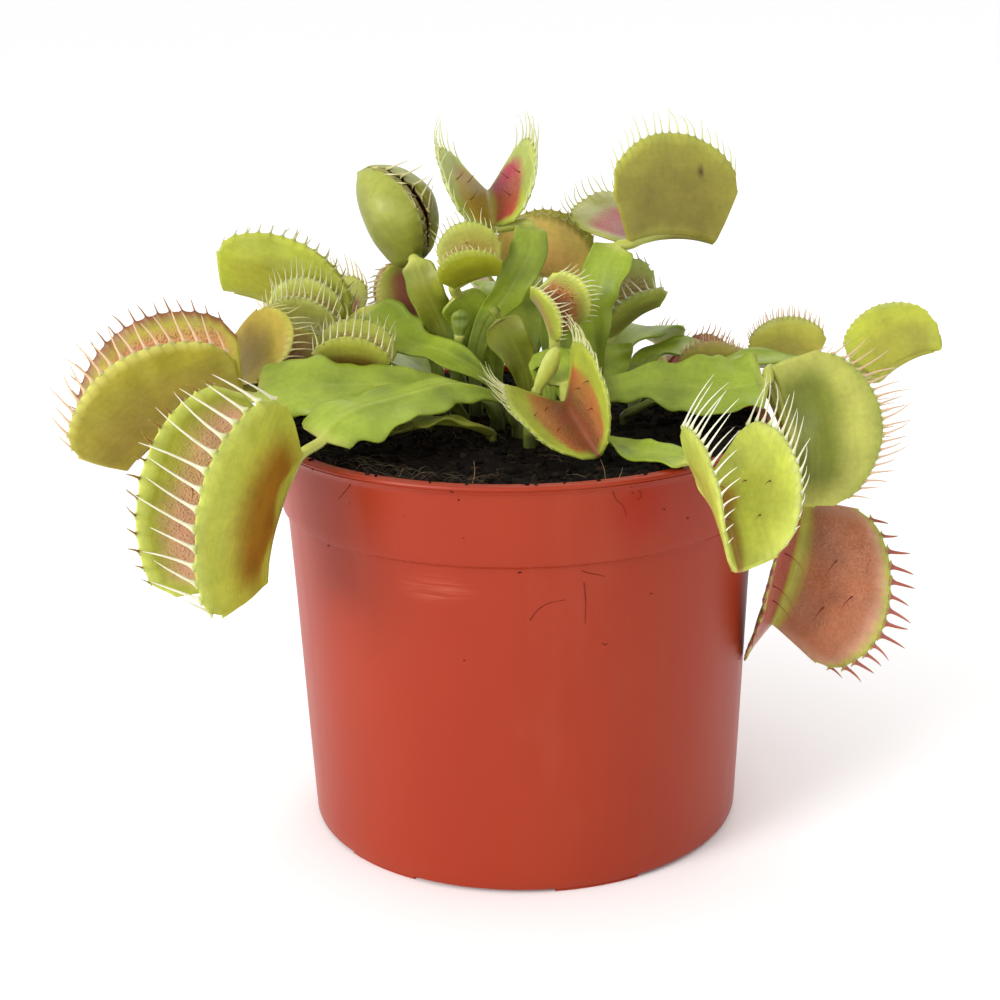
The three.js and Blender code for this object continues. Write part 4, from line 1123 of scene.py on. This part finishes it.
def makeFibres():  # fine roots and moss stalks: most are dark, some pale, a few reach over the rim
    draw = seeded(777)
    fibres = newForm()
    steps = peat["fibreSteps"]
    for index in range(peat["fibres"]):
        spot = strewn(draw, peat["fibreReach"])
        length = 2 + 5.5 * next(draw)
        course = next(draw) * math.tau
        bend = (next(draw) - 0.5) * 1.6
        lift = 0.15 + 0.9 * next(draw) ** 2
        pale = max(0, next(draw) - 0.9) * 6
        kind = index % 14
        if kind == 0:  # over the rim
            angle = math.radians(-90 + (next(draw) - 0.5) * 170)
            spot = heading(angle) * 41.6
            course = angle + (next(draw) - 0.5) * 2.4
            length *= 0.5
        elif kind == 1:  # dry moss at the left front
            angle = math.radians(-122 + (next(draw) - 0.5) * 44)
            spot = heading(angle) * (41.8 - 7 * next(draw) ** 2)
            course = angle + math.pi / 2 + (next(draw) - 0.5) * 1.6
            lift += 0.5
            pale = 0.1 + 0.35 * next(draw)
        elif kind == 2:  # and among the stalks
            spot = Vector((-11, -4, 0)) + strewn(draw, 6)
            lift += 0.7
            pale = 0.1 + 0.25 * next(draw)
        brown = colour(*peat["dark"]).lerp(colour(*peat["brown"]), next(draw))
        tint = brown.lerp(colour(*peat["pale"]), pale)
        thick = 0.025 + 0.035 * next(draw)
        centres = []
        at = spot.copy()
        for step in range(steps + 1):
            t = step / steps
            angle = course + bend * t + 1.8 * noiseAt(index * 3.7, t * 4, 0)
            at = at + heading(angle) * (length / steps)
            at.z = 0
            if at.length > peat["lipEdge"]:
                at *= peat["lipEdge"] / at.length
            ground = peatLevel(at.x, at.y) if at.length < 42.6 else peat["lipTop"] + 0.05
            arc = lift * math.sin(math.pi * min(t * 1.1, 1))
            at.z = max(ground, peatLevel(spot.x, spot.y)) + arc + 0.05
            centres.append(at)
        addFibre(fibres, centres, thick, tint)
    for foot, tip in peat["upright"]:
        rise = Vector(tip) - Vector(foot)
        sideways = Vector((rise.z, 0, -rise.x)) * 0.08
        centres = []
        for t in (0, 0.2, 0.4, 0.6, 0.8, 1):
            centres.append(Vector(foot) + rise * t + sideways * math.sin(math.pi * t))
        addFibre(fibres, centres, 0.05, colour(*peat["pale"]))
    for bends in peat["hairs"]:
        centres = []
        for angle, height in bends:
            turn = math.radians(angle)
            radius = potRadius(height) + 0.03
            centres.append(Vector((math.cos(turn) * radius, math.sin(turn) * radius, height)))
        addFibre(fibres, alongCurve(centres, 12), 0.075, colour(*peat["hair"]))
    settled(finished(fibres, "rootFibres"), None, peatSkin)


makePeat()
makeCrumbs()
makeFibres()
print("soil laid")


# Floor, light and camera
room = {
    "floor": 20, "paper": 0.99, "world": 1.0, "lampsAimAt": (0, 0, 0.05),
    "lamps": {  # place, watts, size
        "keyLight": ((-0.9, -0.75, 0.5), 12, 0.6), "frontLight": ((-0.3, -1.2, 0.2), 1, 0.7),
        "backLight": ((0.2, 0.9, 0.9), 2, 0.6),
    },
    "camera": {"spot": (1.384, -320.434, 154.176), "pitch": 0.29, "turn": 0.016, "roll": 0.02,
               "lens": 66.09, "sensor": 36},
}


def makeFloor():
    cleared()
    bpy.ops.mesh.primitive_plane_add(size=room["floor"], location=(0, 0, 0))
    floor = bpy.context.object
    floor.name = "paleFloor"
    paper, surface = newSkin("paleFloor", Roughness=0.8)
    surface.inputs["Base Color"].default_value = (room["paper"], room["paper"], room["paper"], 1)
    floor.data.materials.append(paper)


def makeLamp(name, spot, power, size):
    lamp = bpy.data.lights.new(name, "AREA")
    lamp.energy = power
    lamp.shape = "DISK"
    lamp.size = size
    holder = shown(name, lamp)
    holder.location = spot
    aim = Vector(room["lampsAimAt"]) - Vector(spot)
    holder.rotation_euler = aim.to_track_quat("-Z", "Y").to_euler()


def makeCamera(spot, pitch, turn, roll, lens, sensor):
    eye = bpy.data.cameras.new("camera")
    eye.lens = lens
    eye.sensor_width = sensor
    eye.clip_start = 0.01
    camera = shown("camera", eye)
    tilt = Matrix.Rotation(math.pi / 2 - pitch, 4, "X")
    aim = Matrix.Rotation(turn, 4, "Z") @ tilt @ Matrix.Rotation(-roll, 4, "Z")
    camera.matrix_world = Matrix.Translation(Vector(spot) * mm) @ aim
    bpy.context.scene.camera = camera


makeFloor()
for name, (spot, power, size) in room["lamps"].items():
    makeLamp(name, spot, power, size)
world = bpy.data.worlds.new("studio")
world.use_nodes = True
world.node_tree.nodes["Background"].inputs["Color"].default_value = (1, 1, 1, 1)
world.node_tree.nodes["Background"].inputs["Strength"].default_value = room["world"]
bpy.context.scene.world = world
bpy.context.scene.view_settings.view_transform = "Standard"
makeCamera(**room["camera"])
print("stage set")
